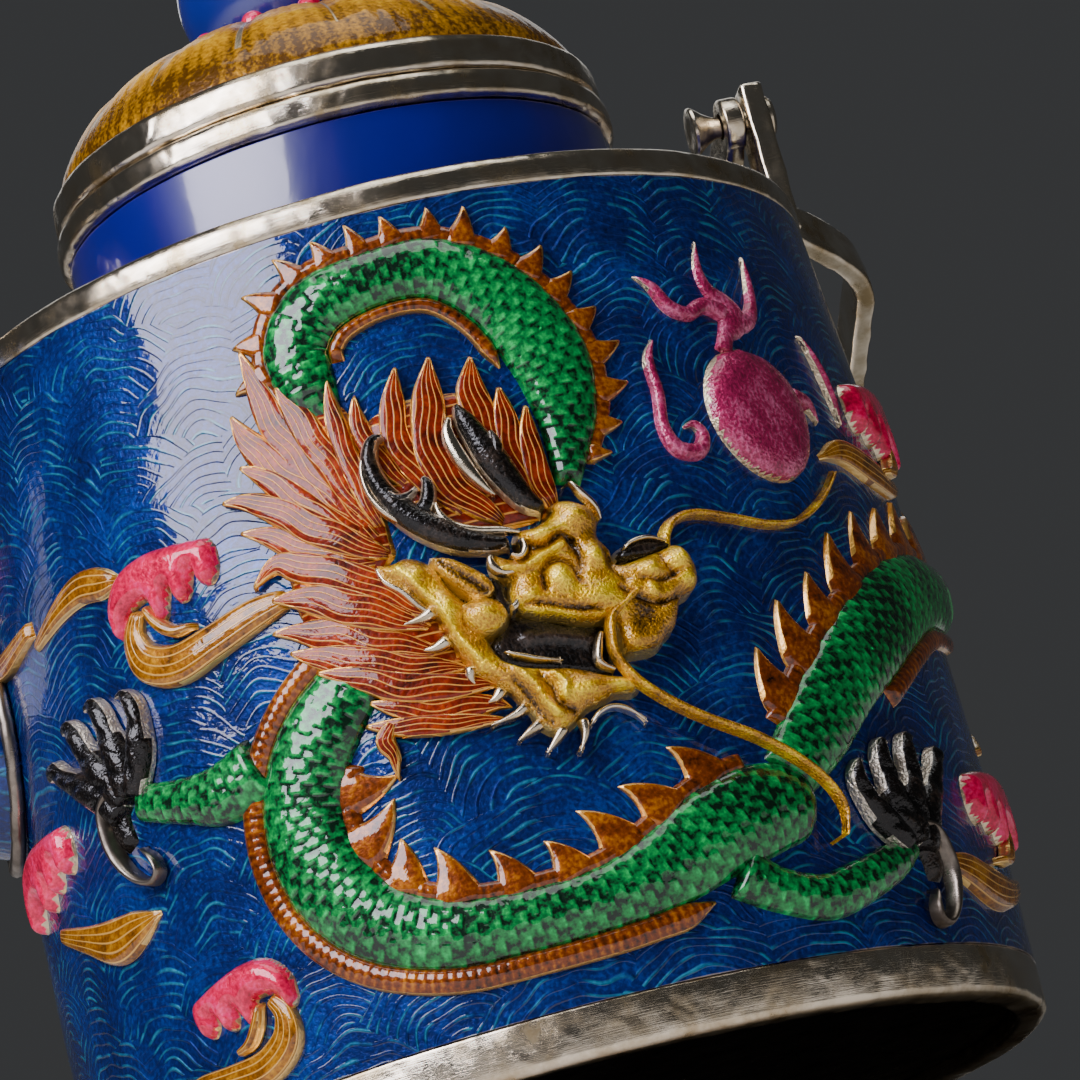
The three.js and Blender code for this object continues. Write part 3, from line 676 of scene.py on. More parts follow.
def makeDragonBody():
    front = [strand(bodyRoutes[key], dragon["proud"], skin=overlappingScales, depth=dragon["scaleDepth"], step=0.2,
                    across=34, ends=ends) for key, ends in (("arch", (4, 1)), ("curl", (10, 1)), ("climb", (1, 0)))]
    joinStrands(front, "dragon_scaled_body", "scaleEnamel")
    back = [strand(bodyRoutes["tail"], dragon["proud"], skin=overlappingScales, depth=dragon["scaleDepth"], step=0.28,
                   across=26, ends=(0, 1))]
    back += [strand(route, dragon["legProud"], skin=overlappingScales, depth=dragon["scaleDepth"], step=0.24, across=22,
                    ends=(0.6, 0.6)) for route in legRoutes]
    joinStrands(back, "dragon_tail_and_legs", "scaleEnamel")


def sideLine(route, offset, start, end):
    # points beside a route, from one part of it to another
    lengths, line = smoothLine(route, 0.4)
    headS, headZ = np.gradient(line[:, 0], lengths), np.gradient(line[:, 1], lengths)
    size = np.hypot(headS, headZ)
    away = np.sign(offset) * line[:, 2] + offset
    s = line[:, 0] - headZ / size * away
    z = line[:, 1] + headS / size * away
    keep = (lengths >= start * lengths[-1]) & (lengths <= end * lengths[-1])
    return s[keep], z[keep], headS[keep] / size[keep], headZ[keep] / size[keep], line[keep, 2]


# the share of each route that bears leaves, their spacing along the root, how tall they stand
# and how far they lean back
finPlan = {"arch": (0.04, 0.97, 3.3, 2.9, 0.2), "curl": (0.16, 0.93, 5.0, 3.9, 0.45),
           "climb": (0.06, 0.99, 5.3, 4.3, -0.5), "tail": (0.1, 0.97, 5.2, 4.6, -0.45)}


def makeFins():
    # amber leaves on the outer side of each length of body, joined by a low web
    pieces = []
    for key, (start, end, pitch, tall, slope) in finPlan.items():
        s, z, hs, hz, half = sideLine(bodyRoutes[key], 0.2, start, end)
        web = [(a, b, 1.1 * min(w / 3, 1)) for a, b, w in list(zip(s, z, half))[::6]]
        pieces.append(strand(web, 0.8, skin=crossRibs, depth=0.1, step=0.35, across=10, edge=0.2))
        run = np.concatenate([[0], np.cumsum(np.hypot(np.diff(s), np.diff(z)))])
        for number, spot in enumerate(np.arange(pitch / 2, run[-1], pitch)):
            i = int(np.searchsorted(run, spot))
            size = min(half[i] / 3.0, 1.1)
            rise, wide = size * tall * (1 + 0.1 * math.sin(number * 2.3)), size * pitch * dragon["finWidth"]
            lean = slope * rise
            points = [(0.1 * rise, -0.3 * rise, wide), (0, 0.05 * rise, wide), (-0.2 * lean, 0.4 * rise, 0.66 * wide),
                      (-0.55 * lean, 0.73 * rise, 0.32 * wide), (-lean, rise, 0.04)]
            route = [(s[i] + a * hs[i] - b * hz[i], z[i] + a * hz[i] + b * hs[i], w) for a, b, w in points]
            pieces.append(strand(route, 0.75, lift=0.12 + 0.1 * (number % 2), step=0.3, across=14, edge=0.3,
                                 ends=(0.6, 0.1), flat=3.0))
    joinStrands(pieces, "dragon_spines", "amberEnamel")


def makeBelly():
    # the ribbed belly along the inner side, between two bright lines
    pieces = []
    for key, start, end, scale in (("arch", 0.1, 0.74, 0.62), ("curl", 0.0, 0.8, 1.0), ("climb", 0.3, 1.0, 0.9),
                                   ("tail", 0.02, 0.95, 0.9)):
        s, z, _, _, width = sideLine(bodyRoutes[key], -dragon["bellyOffset"] * scale, start, end)
        route = [(a, b, dragon["bellyHalf"] * scale * min(w / 3, 1)) for a, b, w in list(zip(s, z, width))[::6]]
        route[-1] = (*route[-1][:2], 0.15)
        pieces.append(strand(route, 0.9, skin=crossRibs, depth=0.08, step=0.25, across=14, edge=0.24, ends=(1, 1)))
    joinStrands(pieces, "dragon_belly", "amberEnamel")


# the mane: each lock runs from its tip to its root as (s, height, half-width)
maneLocks = [
    [(-12.3, 70.8, 0.05), (-11.6, 67.6, 0.9), (-10.9, 64, 1.5), (-9.4, 60, 1.8), (-7, 55, 1.7), (-4.4, 50, 1.0)],
    [(-9.8, 66.4, 0.05), (-8.4, 63, 1.3), (-7.2, 59.5, 1.5), (-5.6, 55, 1.3), (-4.0, 51, 0.7)],
    [(-5.0, 65.6, 0.05), (-5.2, 61.8, 0.9), (-4.9, 58, 1.0), (-4.3, 53.6, 0.9), (-3.6, 50.5, 0.5)],
    [(-14.5, 65.2, 0.05), (-13.5, 62.4, 1.1), (-11.8, 59.4, 1.7), (-9.5, 56, 2.0), (-7, 52.5, 1.7), (-4.2, 49, 0.9)],
    [(-14.9, 60.2, 0.05), (-12.9, 58.6, 0.9), (-10.8, 56.2, 1.3), (-8, 52.6, 1.3), (-5.2, 49.8, 0.9)],
    [(-17.3, 57.4, 0.05), (-14.5, 56.6, 0.9), (-11.5, 54.4, 1.4), (-8.5, 51.6, 1.6), (-5, 48.9, 1.0), (-3.4, 48, 0.4)],
    [(-16.3, 54.3, 0.05), (-13.8, 53.2, 0.9), (-11, 51.2, 1.5), (-7.5, 49, 1.5), (-4.2, 47.9, 0.7)],
    [(-16.2, 48.7, 0.05), (-13.6, 50.2, 0.9), (-11.5, 49.4, 1.5), (-8.5, 47.6, 1.7), (-5.6, 45.8, 1.5),
     (-2.8, 43, 1.1), (-0.8, 41.4, 0.1)],
    [(-14.9, 47.2, 0.05), (-12.6, 46.7, 0.9), (-10, 45.6, 1.6), (-7, 43.7, 1.7), (-3.8, 41.8, 1.1), (-1.4, 40.4, 0.2)],
    [(-15.6, 44.4, 0.05), (-13, 43.7, 0.9), (-10, 42.4, 1.8), (-6.5, 40.4, 1.8), (-3.4, 39.0, 1.2), (-0.8, 38, 0.15)],
    [(-14.4, 42.2, 0.05), (-12, 41, 1.0), (-9, 39.6, 1.6), (-5.5, 37.8, 1.6), (-2.5, 36.9, 1.2), (0.6, 36.2, 0.2)],
    [(-12.4, 39.6, 0.1), (-9.2, 38.2, 1.0), (-6, 36.3, 1.4), (-3, 35.2, 1.4), (0, 34.6, 1.1), (2.8, 33.9, 0.1)],
    [(-8.6, 35.6, 0.1), (-6.2, 34.4, 0.9), (-3.5, 33.3, 1.3), (0, 32.7, 1.2), (2.0, 32.4, 0.7), (3.4, 31.8, 0.05)],
    [(-9.4, 33.6, 0.1), (-6.4, 32.6, 0.9), (-3, 31.8, 1.0), (0.2, 31.2, 0.7), (3.2, 30.6, 0.05)],
    [(-6.6, 33.4, 0.3), (-7.8, 31.8, 0.9), (-7.4, 30.2, 0.6), (-7.6, 28.0, 0.05)],
    [(-3.0, 63.4, 0.05), (-3.3, 60.6, 0.9), (-2.8, 58, 1.0), (-1.6, 55.6, 1.0), (-0.2, 53.4, 0.5)],
    [(1.2, 65.0, 0.05), (0.2, 61.8, 1.1), (-0.4, 58.5, 1.3), (0.6, 55, 1.3), (2.4, 52.2, 1.2), (4.2, 49.8, 0.8)],
    [(4.3, 65.2, 0.05), (3.3, 61.5, 1.4), (2.6, 58, 1.7), (2.4, 55.2, 1.7), (3.6, 52.2, 1.5), (5.4, 49.8, 1.1),
     (7.0, 48.2, 0.4)],
    [(7.9, 64.4, 0.05), (7.2, 61.2, 1.4), (7.2, 58.4, 1.7), (7.6, 55.6, 1.5), (8.2, 52.4, 1.0)],
    [(9.6, 61.0, 0.1), (9.4, 58, 1.1), (9.3, 54, 1.3), (9.9, 50.5, 1.0), (10.6, 48.4, 0.5)],
    [(11.5, 58.8, 0.05), (11.0, 56, 0.9), (10.8, 53, 1.2), (11, 50.5, 1.1), (11.5, 48.4, 0.5)],
]
mane = {"proud": 0.36, "lift": 0.7, "wires": 2.0, "edge": 0.24, "sway": 0.3}


def makeMane():
    under = [
        field([(-3, 48), (-4, 62), (-10.5, 64.5), (-12.6, 60), (-13.2, 56), (-12.8, 50), (-12.6, 45), (-11, 40.5),
               (-7, 36.5), (-3, 33.5), (0.8, 34), (0, 38), (-1.4, 42), (-4.6, 46)], 0.9, swell=3.0, step=0.4),
        field([(-1, 50), (-2.6, 55), (-3, 60), (0.4, 61.5), (3.6, 61.5), (7.4, 60.6), (10.6, 57), (11.6, 52),
               (11, 48.4), (5, 47.8)], 0.8, swell=2.5, step=0.4),
    ]
    locks = [strand(lock, mane["proud"], lift=mane["lift"] + 0.16 * (i % 3), step=0.25, across=16,
                    edge=mane["edge"], wires=mane["wires"] * (1.34 if max(p[2] for p in lock) > 1.45 else 1),
                    ends=(0.5, 1.2), flat=3.6, sway=mane["sway"]) for i, lock in enumerate(maneLocks)]
    joinStrands(under + locks, "dragon_mane", "maneEnamel")


def makeHead():
    # cheek and lower jaw in one sweep, the ear leaf and cheek muscle over it, then brow and snout in one
    jaw = field([(-4.8, 47.2), (-3.6, 46.9), (-2.2, 47.1), (-1.0, 46.5), (0.0, 45.3), (0.6, 43.6), (1.4, 42.2),
                 (2.0, 41.2), (1.4, 40.2), (1.6, 39.2), (2.6, 38.2), (3.0, 37.0), (3.6, 35.8), (5.0, 34.9),
                 (6.8, 34.3), (8.6, 33.9), (10.2, 33.3), (11.6, 32.6), (13.4, 32.0), (14.5, 31.1), (13.6, 30.4),
                 (12.2, 30.6), (11.0, 30.3), (9.4, 29.9), (8.4, 29.2), (7.4, 28.6), (6.2, 28.5), (5.2, 29.4),
                 (4.8, 30.6), (4.2, 31.8), (3.4, 33.2), (2.2, 34.4), (1.0, 35.2), (0.8, 36.4), (0.2, 37.4),
                 (-0.2, 38.6), (-0.4, 39.8), (-0.8, 41.0), (-1.4, 42.2), (-2.4, 43.4), (-3.2, 44.6), (-4.4, 45.8)],
                1.5, swell=1.3, lift=0.9, step=0.2, rim=0.2,
                bumps=[(-1.6, 45.2, 0.7, 0.9, 0.5), (0.2, 41.6, 0.8, 1.6, 0.5), (9.6, 31.6, 1.6, 0.9, 0.5),
                       (12.6, 31.3, 1.0, 0.6, 0.3)],
                folds=[([(-3.0, 46.2), (-1.6, 43.8), (-0.3, 41.2), (0.5, 38.6), (1.6, 36.4)], 0.3, 0.45),
                       ([(3.4, 36.2), (4.6, 34.4), (5.5, 32.8), (6.0, 31.2), (6.8, 29.8)], 0.32, 0.7),
                       ([(4.0, 33.8), (4.9, 31.9), (5.4, 30.4), (6.2, 29.2)], 0.28, -0.5),
                       ([(6.2, 33.6), (6.9, 32.2), (7.1, 30.8), (8.2, 29.9)], 0.3, -0.5),
                       ([(7.2, 33.6), (7.9, 32.4), (7.6, 31.2)], 0.3, 0.6)])
    ear = field([(-0.2, 46.4), (1.4, 45.9), (2.8, 44.8), (4.0, 43.5), (4.4, 42.2), (3.4, 41.5), (2.2, 42.1),
                 (1.2, 43.3), (0.3, 44.8)], 1.2, swell=0.9, lift=1.7, step=0.2, rim=0.22,
                folds=[([(0.4, 45.8), (2.2, 43.8), (3.6, 42.2)], 0.4, -0.5)])
    cheek = field([(1.3, 41.5), (2.8, 41.7), (4.2, 41.3), (4.9, 40.2), (4.7, 39.0), (3.5, 38.3), (2.0, 38.6),
                   (1.1, 39.9)],
                  1.2, swell=1.3, lift=1.6, step=0.2, rim=0.24, bumps=[(3.0, 40.2, 1.0, 0.9, 0.5)])
    skull = field([(5.0, 45.4), (4.6, 44.4), (4.9, 43.2), (5.8, 42.6), (5.4, 41.6), (5.4, 40.4), (6.2, 39.5),
                   (7.6, 38.7), (9.0, 38.3), (10.4, 37.6), (12.0, 37.2), (13.1, 37.4), (13.6, 36.4), (13.5, 35.2),
                   (14.0, 34.0), (15.4, 33.8), (16.8, 34.0), (17.8, 34.8), (18.8, 35.6), (19.4, 36.8), (20.0, 38.0),
                   (21.2, 38.5), (22.0, 39.4), (22.2, 41.0), (21.6, 42.4), (20.8, 43.2), (19.4, 42.9), (17.6, 42.5),
                   (16.0, 42.2), (15.0, 42.3), (14.9, 43.6), (14.2, 45.0), (14.6, 46.4), (14.3, 47.6), (13.4, 48.4),
                   (12.2, 48.9), (11.0, 48.7), (10.4, 47.6), (9.0, 47.0), (7.6, 46.9), (7.2, 46.0), (7.4, 44.8),
                   (6.4, 44.6)],
                  2.0, swell=1.5, lift=1.0, step=0.18, rim=0.2,
                  bumps=[(9.3, 46.0, 1.3, 0.7, 0.8), (12.3, 47.0, 1.1, 1.1, 0.8), (13.0, 43.0, 0.9, 1.0, 0.7),
                         (9.8, 41.7, 1.0, 1.2, 0.9), (12.4, 39.6, 1.6, 1.1, 0.6), (17.4, 41.0, 1.1, 1.0, 0.9),
                         (20.4, 41.6, 0.9, 1.0, 0.8), (17.2, 39.0, 0.5, 1.0, 0.5), (16.0, 36.4, 1.4, 1.6, -0.5),
                         (7.0, 40.6, 0.8, 0.8, 0.4), (20.6, 39.6, 0.9, 0.7, 0.3)],
                  folds=[([(5.2, 43.6), (7.0, 43.2), (8.8, 43.9), (10.6, 44.5)], 0.35, 0.8),
                         ([(7.6, 45.2), (9.2, 44.8), (10.8, 45.6), (11.6, 44.6)], 0.28, -0.6),
                         ([(8.4, 41.0), (8.6, 42.6), (9.8, 43.3), (11.0, 42.6), (11.4, 41.2)], 0.28, -0.7),
                         ([(11.6, 44.8), (11.9, 43.2), (11.7, 42.0)], 0.35, -0.6),
                         ([(14.2, 43.6), (14.4, 41.8), (15.2, 40.4)], 0.4, -0.6),
                         ([(6.6, 40.0), (8.4, 39.6), (10.4, 38.7), (12.4, 38.3)], 0.22, -0.4),
                         ([(6.4, 39.4), (8.8, 38.7), (10.8, 37.9), (12.8, 37.6)], 0.25, 0.5),
                         ([(14.6, 39.8), (16.0, 38.6), (17.6, 37.8), (19.4, 38.2)], 0.3, -0.6),
                         ([(19.0, 42.8), (19.0, 41.2), (19.6, 40.2)], 0.25, -0.5),
                         ([(16.6, 40.2), (18.2, 39.8), (20.2, 40.4)], 0.25, -0.4)])
    joinStrands([jaw, ear, cheek, skull], "dragon_head", "goldEnamel")
    # how far each is lifted, and its route
    edges = [
        # teeth, the edge of the ear and the beard
        (1.0, [(-0.8, 41.9, 0.7), (-2.2, 41.4, 0.5), (-3.9, 41.3, 0.05)]),
        (1.0, [(-0.2, 39.0, 0.7), (-1.6, 38.5, 0.5), (-2.9, 38.6, 0.05)]),
        (1.0, [(0.9, 36.2, 0.6), (0.6, 35.2, 0.5), (0.8, 34.2, 0.05)]),
        (1.0, [(3.0, 33.6, 0.6), (2.3, 32.8, 0.5), (1.3, 32.4, 0.05)]),
        (1.0, [(4.7, 31.5, 0.6), (3.3, 30.8, 0.4), (1.0, 30.4, 0.05)]),
        (1.0, [(5.5, 29.7, 0.6), (4.3, 29.1, 0.45), (2.9, 28.4, 0.05)]),
        (1.0, [(7.2, 28.9, 0.6), (6.3, 27.9, 0.45), (5.0, 26.7, 0.05)]),
        (1.0, [(8.8, 29.3, 0.5), (8.7, 27.8, 0.4), (7.8, 26.1, 0.05)]),
        (1.0, [(-4.9, 47.2, 0.2), (-4.4, 45.6, 0.35), (-3.1, 44.2, 0.4), (-2.1, 42.6, 0.4), (-0.9, 41.2, 0.2)]),
        (1.0, [(9.2, 28.3, 0.1), (10.3, 29.3, 0.3), (11.6, 29.6, 0.3), (12.9, 29.0, 0.28), (14.3, 27.5, 0.05)]),
        # brow curls and the bright line under the first horn
        (2.0, [(1.4, 51.4, 0.15), (1.6, 49.9, 0.4), (2.5, 48.6, 0.45), (4.2, 47.7, 0.45), (6.2, 47.2, 0.4),
               (7.8, 46.6, 0.15)]),
        (2.4, [(4.7, 45.4, 0.2), (4.6, 44.2, 0.45), (5.4, 43.3, 0.4), (6.8, 43.1, 0.2)]),
        (2.6, [(7.5, 46.2, 0.2), (7.6, 45.0, 0.35), (7.0, 44.3, 0.3), (6.2, 44.8, 0.15)]),
        (2.0, [(12.8, 50.6, 0.1), (13.6, 49.2, 0.35), (14.5, 47.6, 0.35), (14.7, 46.2, 0.1)]),
        # painted reflection: silver strips on the left faces of the two black horns, where the key light's reflection
        # lies on the glass
        (2.0, [(-2.9, 57.8, 0.08), (-3.8, 56.0, 0.3), (-3.8, 53.8, 0.36), (-3.0, 51.7, 0.4), (-1.6, 50.0, 0.3),
               (-0.6, 49.2, 0.05)]),
        (1.9, [(4.5, 58.8, 0.2), (4.0, 57.2, 0.6), (4.3, 55.2, 0.75), (5.0, 53.2, 0.65), (5.9, 51.4, 0.35),
               (6.6, 50.4, 0.05)]),
        # fangs
        (1.6, [(12.3, 36.6, 0.2), (11.6, 35.0, 0.42), (11.4, 33.6, 0.36), (12.6, 32.6, 0.2)]),
        (1.4, [(3.6, 36.6, 0.1), (5.0, 35.8, 0.32), (6.8, 35.0, 0.28), (8.6, 34.5, 0.06)]),
        (2.0, [(5.0, 40.0, 0.5), (5.7, 40.2, 0.4), (6.4, 41.4, 0.08)]),
        # the rim of the nose
        (1.6, [(15.9, 43.2, 0.1), (16.8, 43.9, 0.28), (18.4, 44.1, 0.3), (20.2, 43.5, 0.15)]),
    ]
    bright = [strand(route, 0.8, lift=lift, step=0.2, across=10, ends=(0.3, 0.2)) for lift, route in edges]
    joinStrands(bright, "dragon_silver_edges_and_painted_horn_reflections", "silver")


def makeHornsAndMouth():
    dark = [
        field([(4.2, 38.8), (5.4, 39.6), (7.8, 38.8), (10, 37.8), (12.8, 37.2), (13.2, 35.2), (12.4, 32.8),
               (10.6, 33.0), (8.8, 33.6), (6.2, 34.3), (4.0, 35.2), (2.8, 37.2)], 0.5, swell=0.8, lift=0.3, rim=0.0,
              folds=[([(6.0, 37.4), (8.4, 37.0), (11.2, 36.0)], 0.5, 0.35)]),
        field([(15.4, 42.6), (15.8, 43.4), (17.2, 44.0), (19.0, 44.0), (20.6, 43.4), (19.4, 42.6), (17.4, 42.2)], 1.0,
              swell=0.8, lift=1.0, rim=0.0, step=0.2),
        field([(3.9, 43.2), (4.4, 43.5), (5.2, 42.6), (5.2, 41.2), (5.9, 40.2), (5.0, 39.8), (4.3, 41.0)], 0.4,
              swell=0.4, lift=1.2, rim=0.0, step=0.2),
        # the first horn, its hook and its inner tine
        strand([(6.8, 45.9, 0.6), (4.8, 46.3, 1.0), (2.6, 47.3, 1.3), (0.6, 48.9, 1.45), (-1.3, 51.0, 1.3),
                (-2.7, 53.8, 1.0), (-3.1, 56.4, 0.85), (-2.4, 58.2, 0.6), (-1.2, 58.4, 0.15)], 2.0, lift=1.5,
               across=20, edge=0.24, ends=(0.6, 0.3)),
        strand([(-0.2, 50.4, 0.9), (0.8, 51.4, 0.8), (1.2, 53.0, 0.6), (0.8, 54.0, 0.1)], 1.2, lift=1.6, across=14,
               edge=0.24, ends=(0.4, 0.3)),
        strand([(-2.3, 53.2, 0.3), (-1.6, 52.3, 0.45), (-0.6, 52.2, 0.45), (0.4, 53.0, 0.1)], 1.2, lift=2.2, across=12,
               edge=0.3),
        # the second horn, knobbed above
        strand([(10.4, 48.2, 0.5), (9.0, 49.4, 1.0), (7.9, 51.6, 1.35), (7.0, 54.0, 1.5), (6.2, 56.4, 1.2),
                (5.6, 58.2, 0.9), (5.2, 59.8, 0.2)], 1.9, lift=1.5, across=20, edge=0.2, ends=(0.6, 0.3)),
        strand([(7.4, 53.4, 0.5), (7.6, 55.0, 0.6), (7.4, 56.6, 0.15)], 1.2, lift=2.2, across=12, edge=0.2),
    ]
    joinStrands(dark, "dragon_horns_and_mouth", "hornEnamel")
    hairs = [
        strand([(20.3, 42.8, 0.5), (20.9, 44.6, 0.52), (22.2, 45.8, 0.48), (24.4, 46.2, 0.44), (28, 45.5, 0.42),
                (32, 44.7, 0.38), (36, 45.0, 0.34), (40, 47.0, 0.3), (44.4, 50.4, 0.08)], 1.1, lift=0.3, across=8,
               step=0.25),
        strand([(16.4, 39.6, 0.4), (14.8, 38.5, 0.46), (13.3, 37.4, 0.46), (12.75, 35.6, 0.44), (12.8, 33.6, 0.42),
                (14.0, 31.2, 0.46), (16.2, 28.9, 0.46), (19.0, 26.8, 0.46), (23.0, 24.5, 0.46), (26.2, 22.2, 0.42),
                (28.6, 19.8, 0.36), (29.8, 17.2, 0.3), (29.3, 14.4, 0.06)], 1.0, lift=2.1, across=8, step=0.25),
    ]
    joinStrands(hairs, "dragon_whiskers", "goldEnamel")


def claw(wristS, wristZ, turn, size, flip):
    # knuckled fingers and a thumb, drawn for a wrist that points up, then turned
    fingers = [
        [(-0.8, -0.6, 1.4), (-3.0, 2.6, 1.7), (-5.4, 5.2, 1.5), (-7.4, 7.0, 1.1), (-9.0, 8.6, 1.0), (-9.9, 7.6, 0.2)],
        [(0, 0.2, 1.4), (-1.6, 4.4, 1.7), (-3.0, 7.4, 1.3), (-3.6, 9.6, 1.15), (-4.6, 11.0, 0.8), (-5.8, 10.6, 0.1)],
        [(0.6, 0.6, 1.4), (1.0, 4.8, 1.7), (0.8, 7.8, 1.3), (0.6, 9.8, 1.1), (-0.2, 11.2, 0.7), (-1.6, 11.0, 0.1)],
        [(1.4, 0.4, 1.3), (3.8, 3.8, 1.6), (4.9, 6.6, 1.2), (5.0, 8.6, 1.0), (4.2, 10.0, 0.5), (3.0, 10.0, 0.1)],
    ]
    thumb = [(1.2, 1.6, 0.3), (-0.6, 2.2, 0.5), (-2.6, 1.2, 0.62), (-3.2, -1.6, 0.66), (-2.8, -4.2, 0.6),
             (-1.4, -6.6, 0.5), (0.4, -7.9, 0.42), (1.6, -7.4, 0.4), (1.4, -5.8, 0.36), (0.2, -4.2, 0.08)]
    web = [(-1.4, -3.6, 1.0), (-2.2, -0.6, 1.8), (-1.8, 2.4, 2.4), (-1.6, 5.2, 2.4), (-1.4, 7.0, 1.2)]
    cos, sin = math.cos(math.radians(turn)), math.sin(math.radians(turn))

    def turned(route):
        return [(wristS + size * (flip * a * cos - b * sin), wristZ + size * (flip * a * sin + b * cos), w * size)
                for a, b, w in route]

    def knuckles(along, across):
        bead = 0.5 + 0.5 * wobble(along * 1.3, across * 1.6, 1.7)
        # painted shade and painted highlight: the colour is darker between the knuckle beads and lighter on them
        return bead, 0.15 + 0.5 * bead

    black = [strand(turned(route), 1.5, lift=0.5, skin=knuckles, depth=0.34, across=14, step=0.25, edge=0.2,
                    ends=(0.5, 0.3)) for route in fingers]
    black.append(strand(turned(web), 1.2, across=14, step=0.3, ends=(1, 1)))
    return black, strand(turned(thumb), 1.3, lift=0.8, across=10, step=0.22, ends=(0.5, 0.3))


def makeClaws():
    # wrist, turn in degrees, size and mirror
    plan = [(-34.6, 34.8, 8, 0.95, 1), (39.4, 13.4, 10, 0.9, -1), (101.8, 42.2, 105, 0.9, 1),
            (148.6, 41.8, 30, 0.9, 1)]
    made = [claw(*item) for item in plan]
    joinStrands([piece for black, _ in made for piece in black], "dragon_claws", "hornEnamel")
    joinStrands([thumb for _, thumb in made], "dragon_thumb_claws", "greySilver")


def makePearl():
    oval = field([(35.4, 62.2), (38.6, 61.2), (41.0, 58.8), (41.8, 55.6), (41.0, 52.2), (38.8, 49.8), (35.9, 49.1),
                  (32.8, 50.2), (30.6, 52.8), (29.8, 56.0), (30.6, 59.2), (32.6, 61.4)],
                 1.6, swell=3.6, lift=0.3, step=0.25, rim=0.1)
    flames = [
        [(33.8, 61.8, 1.1), (34.8, 63.6, 1.0), (36.2, 65.2, 2.0), (36.0, 66.8, 1.3), (34.4, 68.2, 0.9),
         (34.0, 70.4, 0.6), (35.0, 73.4, 0.06)],
        [(35.4, 65.8, 1.1), (33, 66.6, 0.9), (30.8, 65.8, 0.8), (28.8, 66.6, 0.8), (27.6, 68.6, 0.6),
         (26.0, 69.8, 0.06)],
        [(36.4, 65.0, 1.3), (38.4, 65.2, 1.0), (39.8, 66.8, 0.7), (40.6, 69.4, 0.5), (41.2, 72.2, 0.06)],
        [(25.9, 63.5, 0.1), (24.7, 61.4, 0.55), (24.6, 58, 0.65), (24.1, 54.8, 0.7), (24.9, 52.6, 0.9),
         (27.0, 52.2, 0.9), (28.0, 53.6, 0.7), (27.4, 54.8, 0.5), (26.2, 54.6, 0.15)],
        [(41.2, 57.8, 1.0), (43.4, 57.2, 0.7), (44.6, 55.2, 0.08)],
        [(46.3, 64.6, 0.08), (47.6, 61.6, 0.4), (48.4, 58.6, 0.4), (49, 55.4, 0.08)],
    ]
    tongues = [strand(route, 1.1, across=12, step=0.25, edge=0.1, ends=(0.3, 0.2)) for route in flames]
    joinStrands([oval] + tongues, "flaming_pearl", "roseEnamel")


# one cloud: a scalloped pink crest over a wide honey ribbon, a small inner ribbon and a tail; drawn about its middle
cloudShape = {
    "crest": [(-6.4, 0), (-6.6, 2), (-5.8, 4), (-4.2, 5.4), (-1.5, 6), (1.5, 5.8), (4, 5.4), (5.5, 5), (6.1, 3.6),
              (5.8, 1.6), (4.8, 0.8), (3.8, 1.6), (3.5, 2.9), (3.1, 1.9), (2.6, 0.6), (1.6, 0.3), (1.0, 1.2),
              (0.7, 2.2), (0.2, 1.0), (-0.4, -0.4), (-1.2, -0.2), (-1.6, 1), (-2, 1.9), (-3.4, 1.8), (-4.6, 1),
              (-5.2, -0.4), (-5.8, -0.6)],
    "ribbon": [(-3.4, 1.4, 0.7), (-4.4, -1.0, 1.3), (-3.4, -3.6, 1.9), (-0.2, -4.9, 2.0), (4.0, -4.3, 1.8),
               (8.4, -3.3, 1.6), (11.6, -2.9, 1.0)],
    "inner": [(-2.4, 1.4, 0.3), (-1.2, -0.6, 0.6), (0.4, -2.0, 0.6), (2.6, -2.2, 0.3)],
    "tail": [(-19, 3.4, 0.4), (-14, 5.2, 1.1), (-10, 6.0, 1.6), (-7, 5.4, 1.5), (-5, 5.0, 0.5)],
}
# centre, size, mirror, turn in degrees, and which ribbons it has
cloudPlan = [(-25, 50, 1.0, 1, 0, ("ribbon", "inner", "tail")), (-51, 31, 1.05, 1, 6, ()),
             (-27, 12, 0.86, -1, 8, ("ribbon", "inner")), (-57, 62, 0.9, 1, 0, ("inner",)),
             (59, 54.5, 1.15, -1, 0, ("inner",)), (58, 15.5, 1.1, -1, 0, ("inner",)),
             (88, 22, 1.1, 1, 0, ("ribbon", "inner", "tail")), (93, 69, 0.9, -1, 0, ("ribbon", "inner")),
             (146, 65, 1.1, 1, 0, ("ribbon", "inner", "tail")), (119, 15, 1.0, -1, 0, ("ribbon", "inner", "tail")),
             (178, 21, 1.1, 1, 0, ("ribbon", "inner")), (172, 68, 0.9, -1, 0, ("ribbon", "inner"))]
ribbonLook = {"ribbon": (1.0, 0.2, 20, 2.5), "inner": (1.0, 0.5, 10, 1.0), "tail": (0.8, 0.1, 16, 2.0)}
looseRibbons = [
    [(-34, 24.8, 0.2), (-37.4, 24.4, 1.8), (-41, 24.3, 2.3), (-46, 26.0, 1.4), (-52, 28.2, 0.7)],
    [(43, 51.8, 0.3), (47, 52.6, 1.4), (52, 51.6, 1.8), (58, 50.8, 1.2), (63, 51.6, 0.4)],
    [(42.6, 12.6, 0.3), (47, 11.6, 1.8), (52, 10.2, 2.2), (58, 10.4, 1.4), (64, 12, 0.4)],
    [(-64, 53, 0.6), (-56, 54.6, 1.2), (-50, 54.4, 1.3), (-44, 55.4, 0.9)],
]


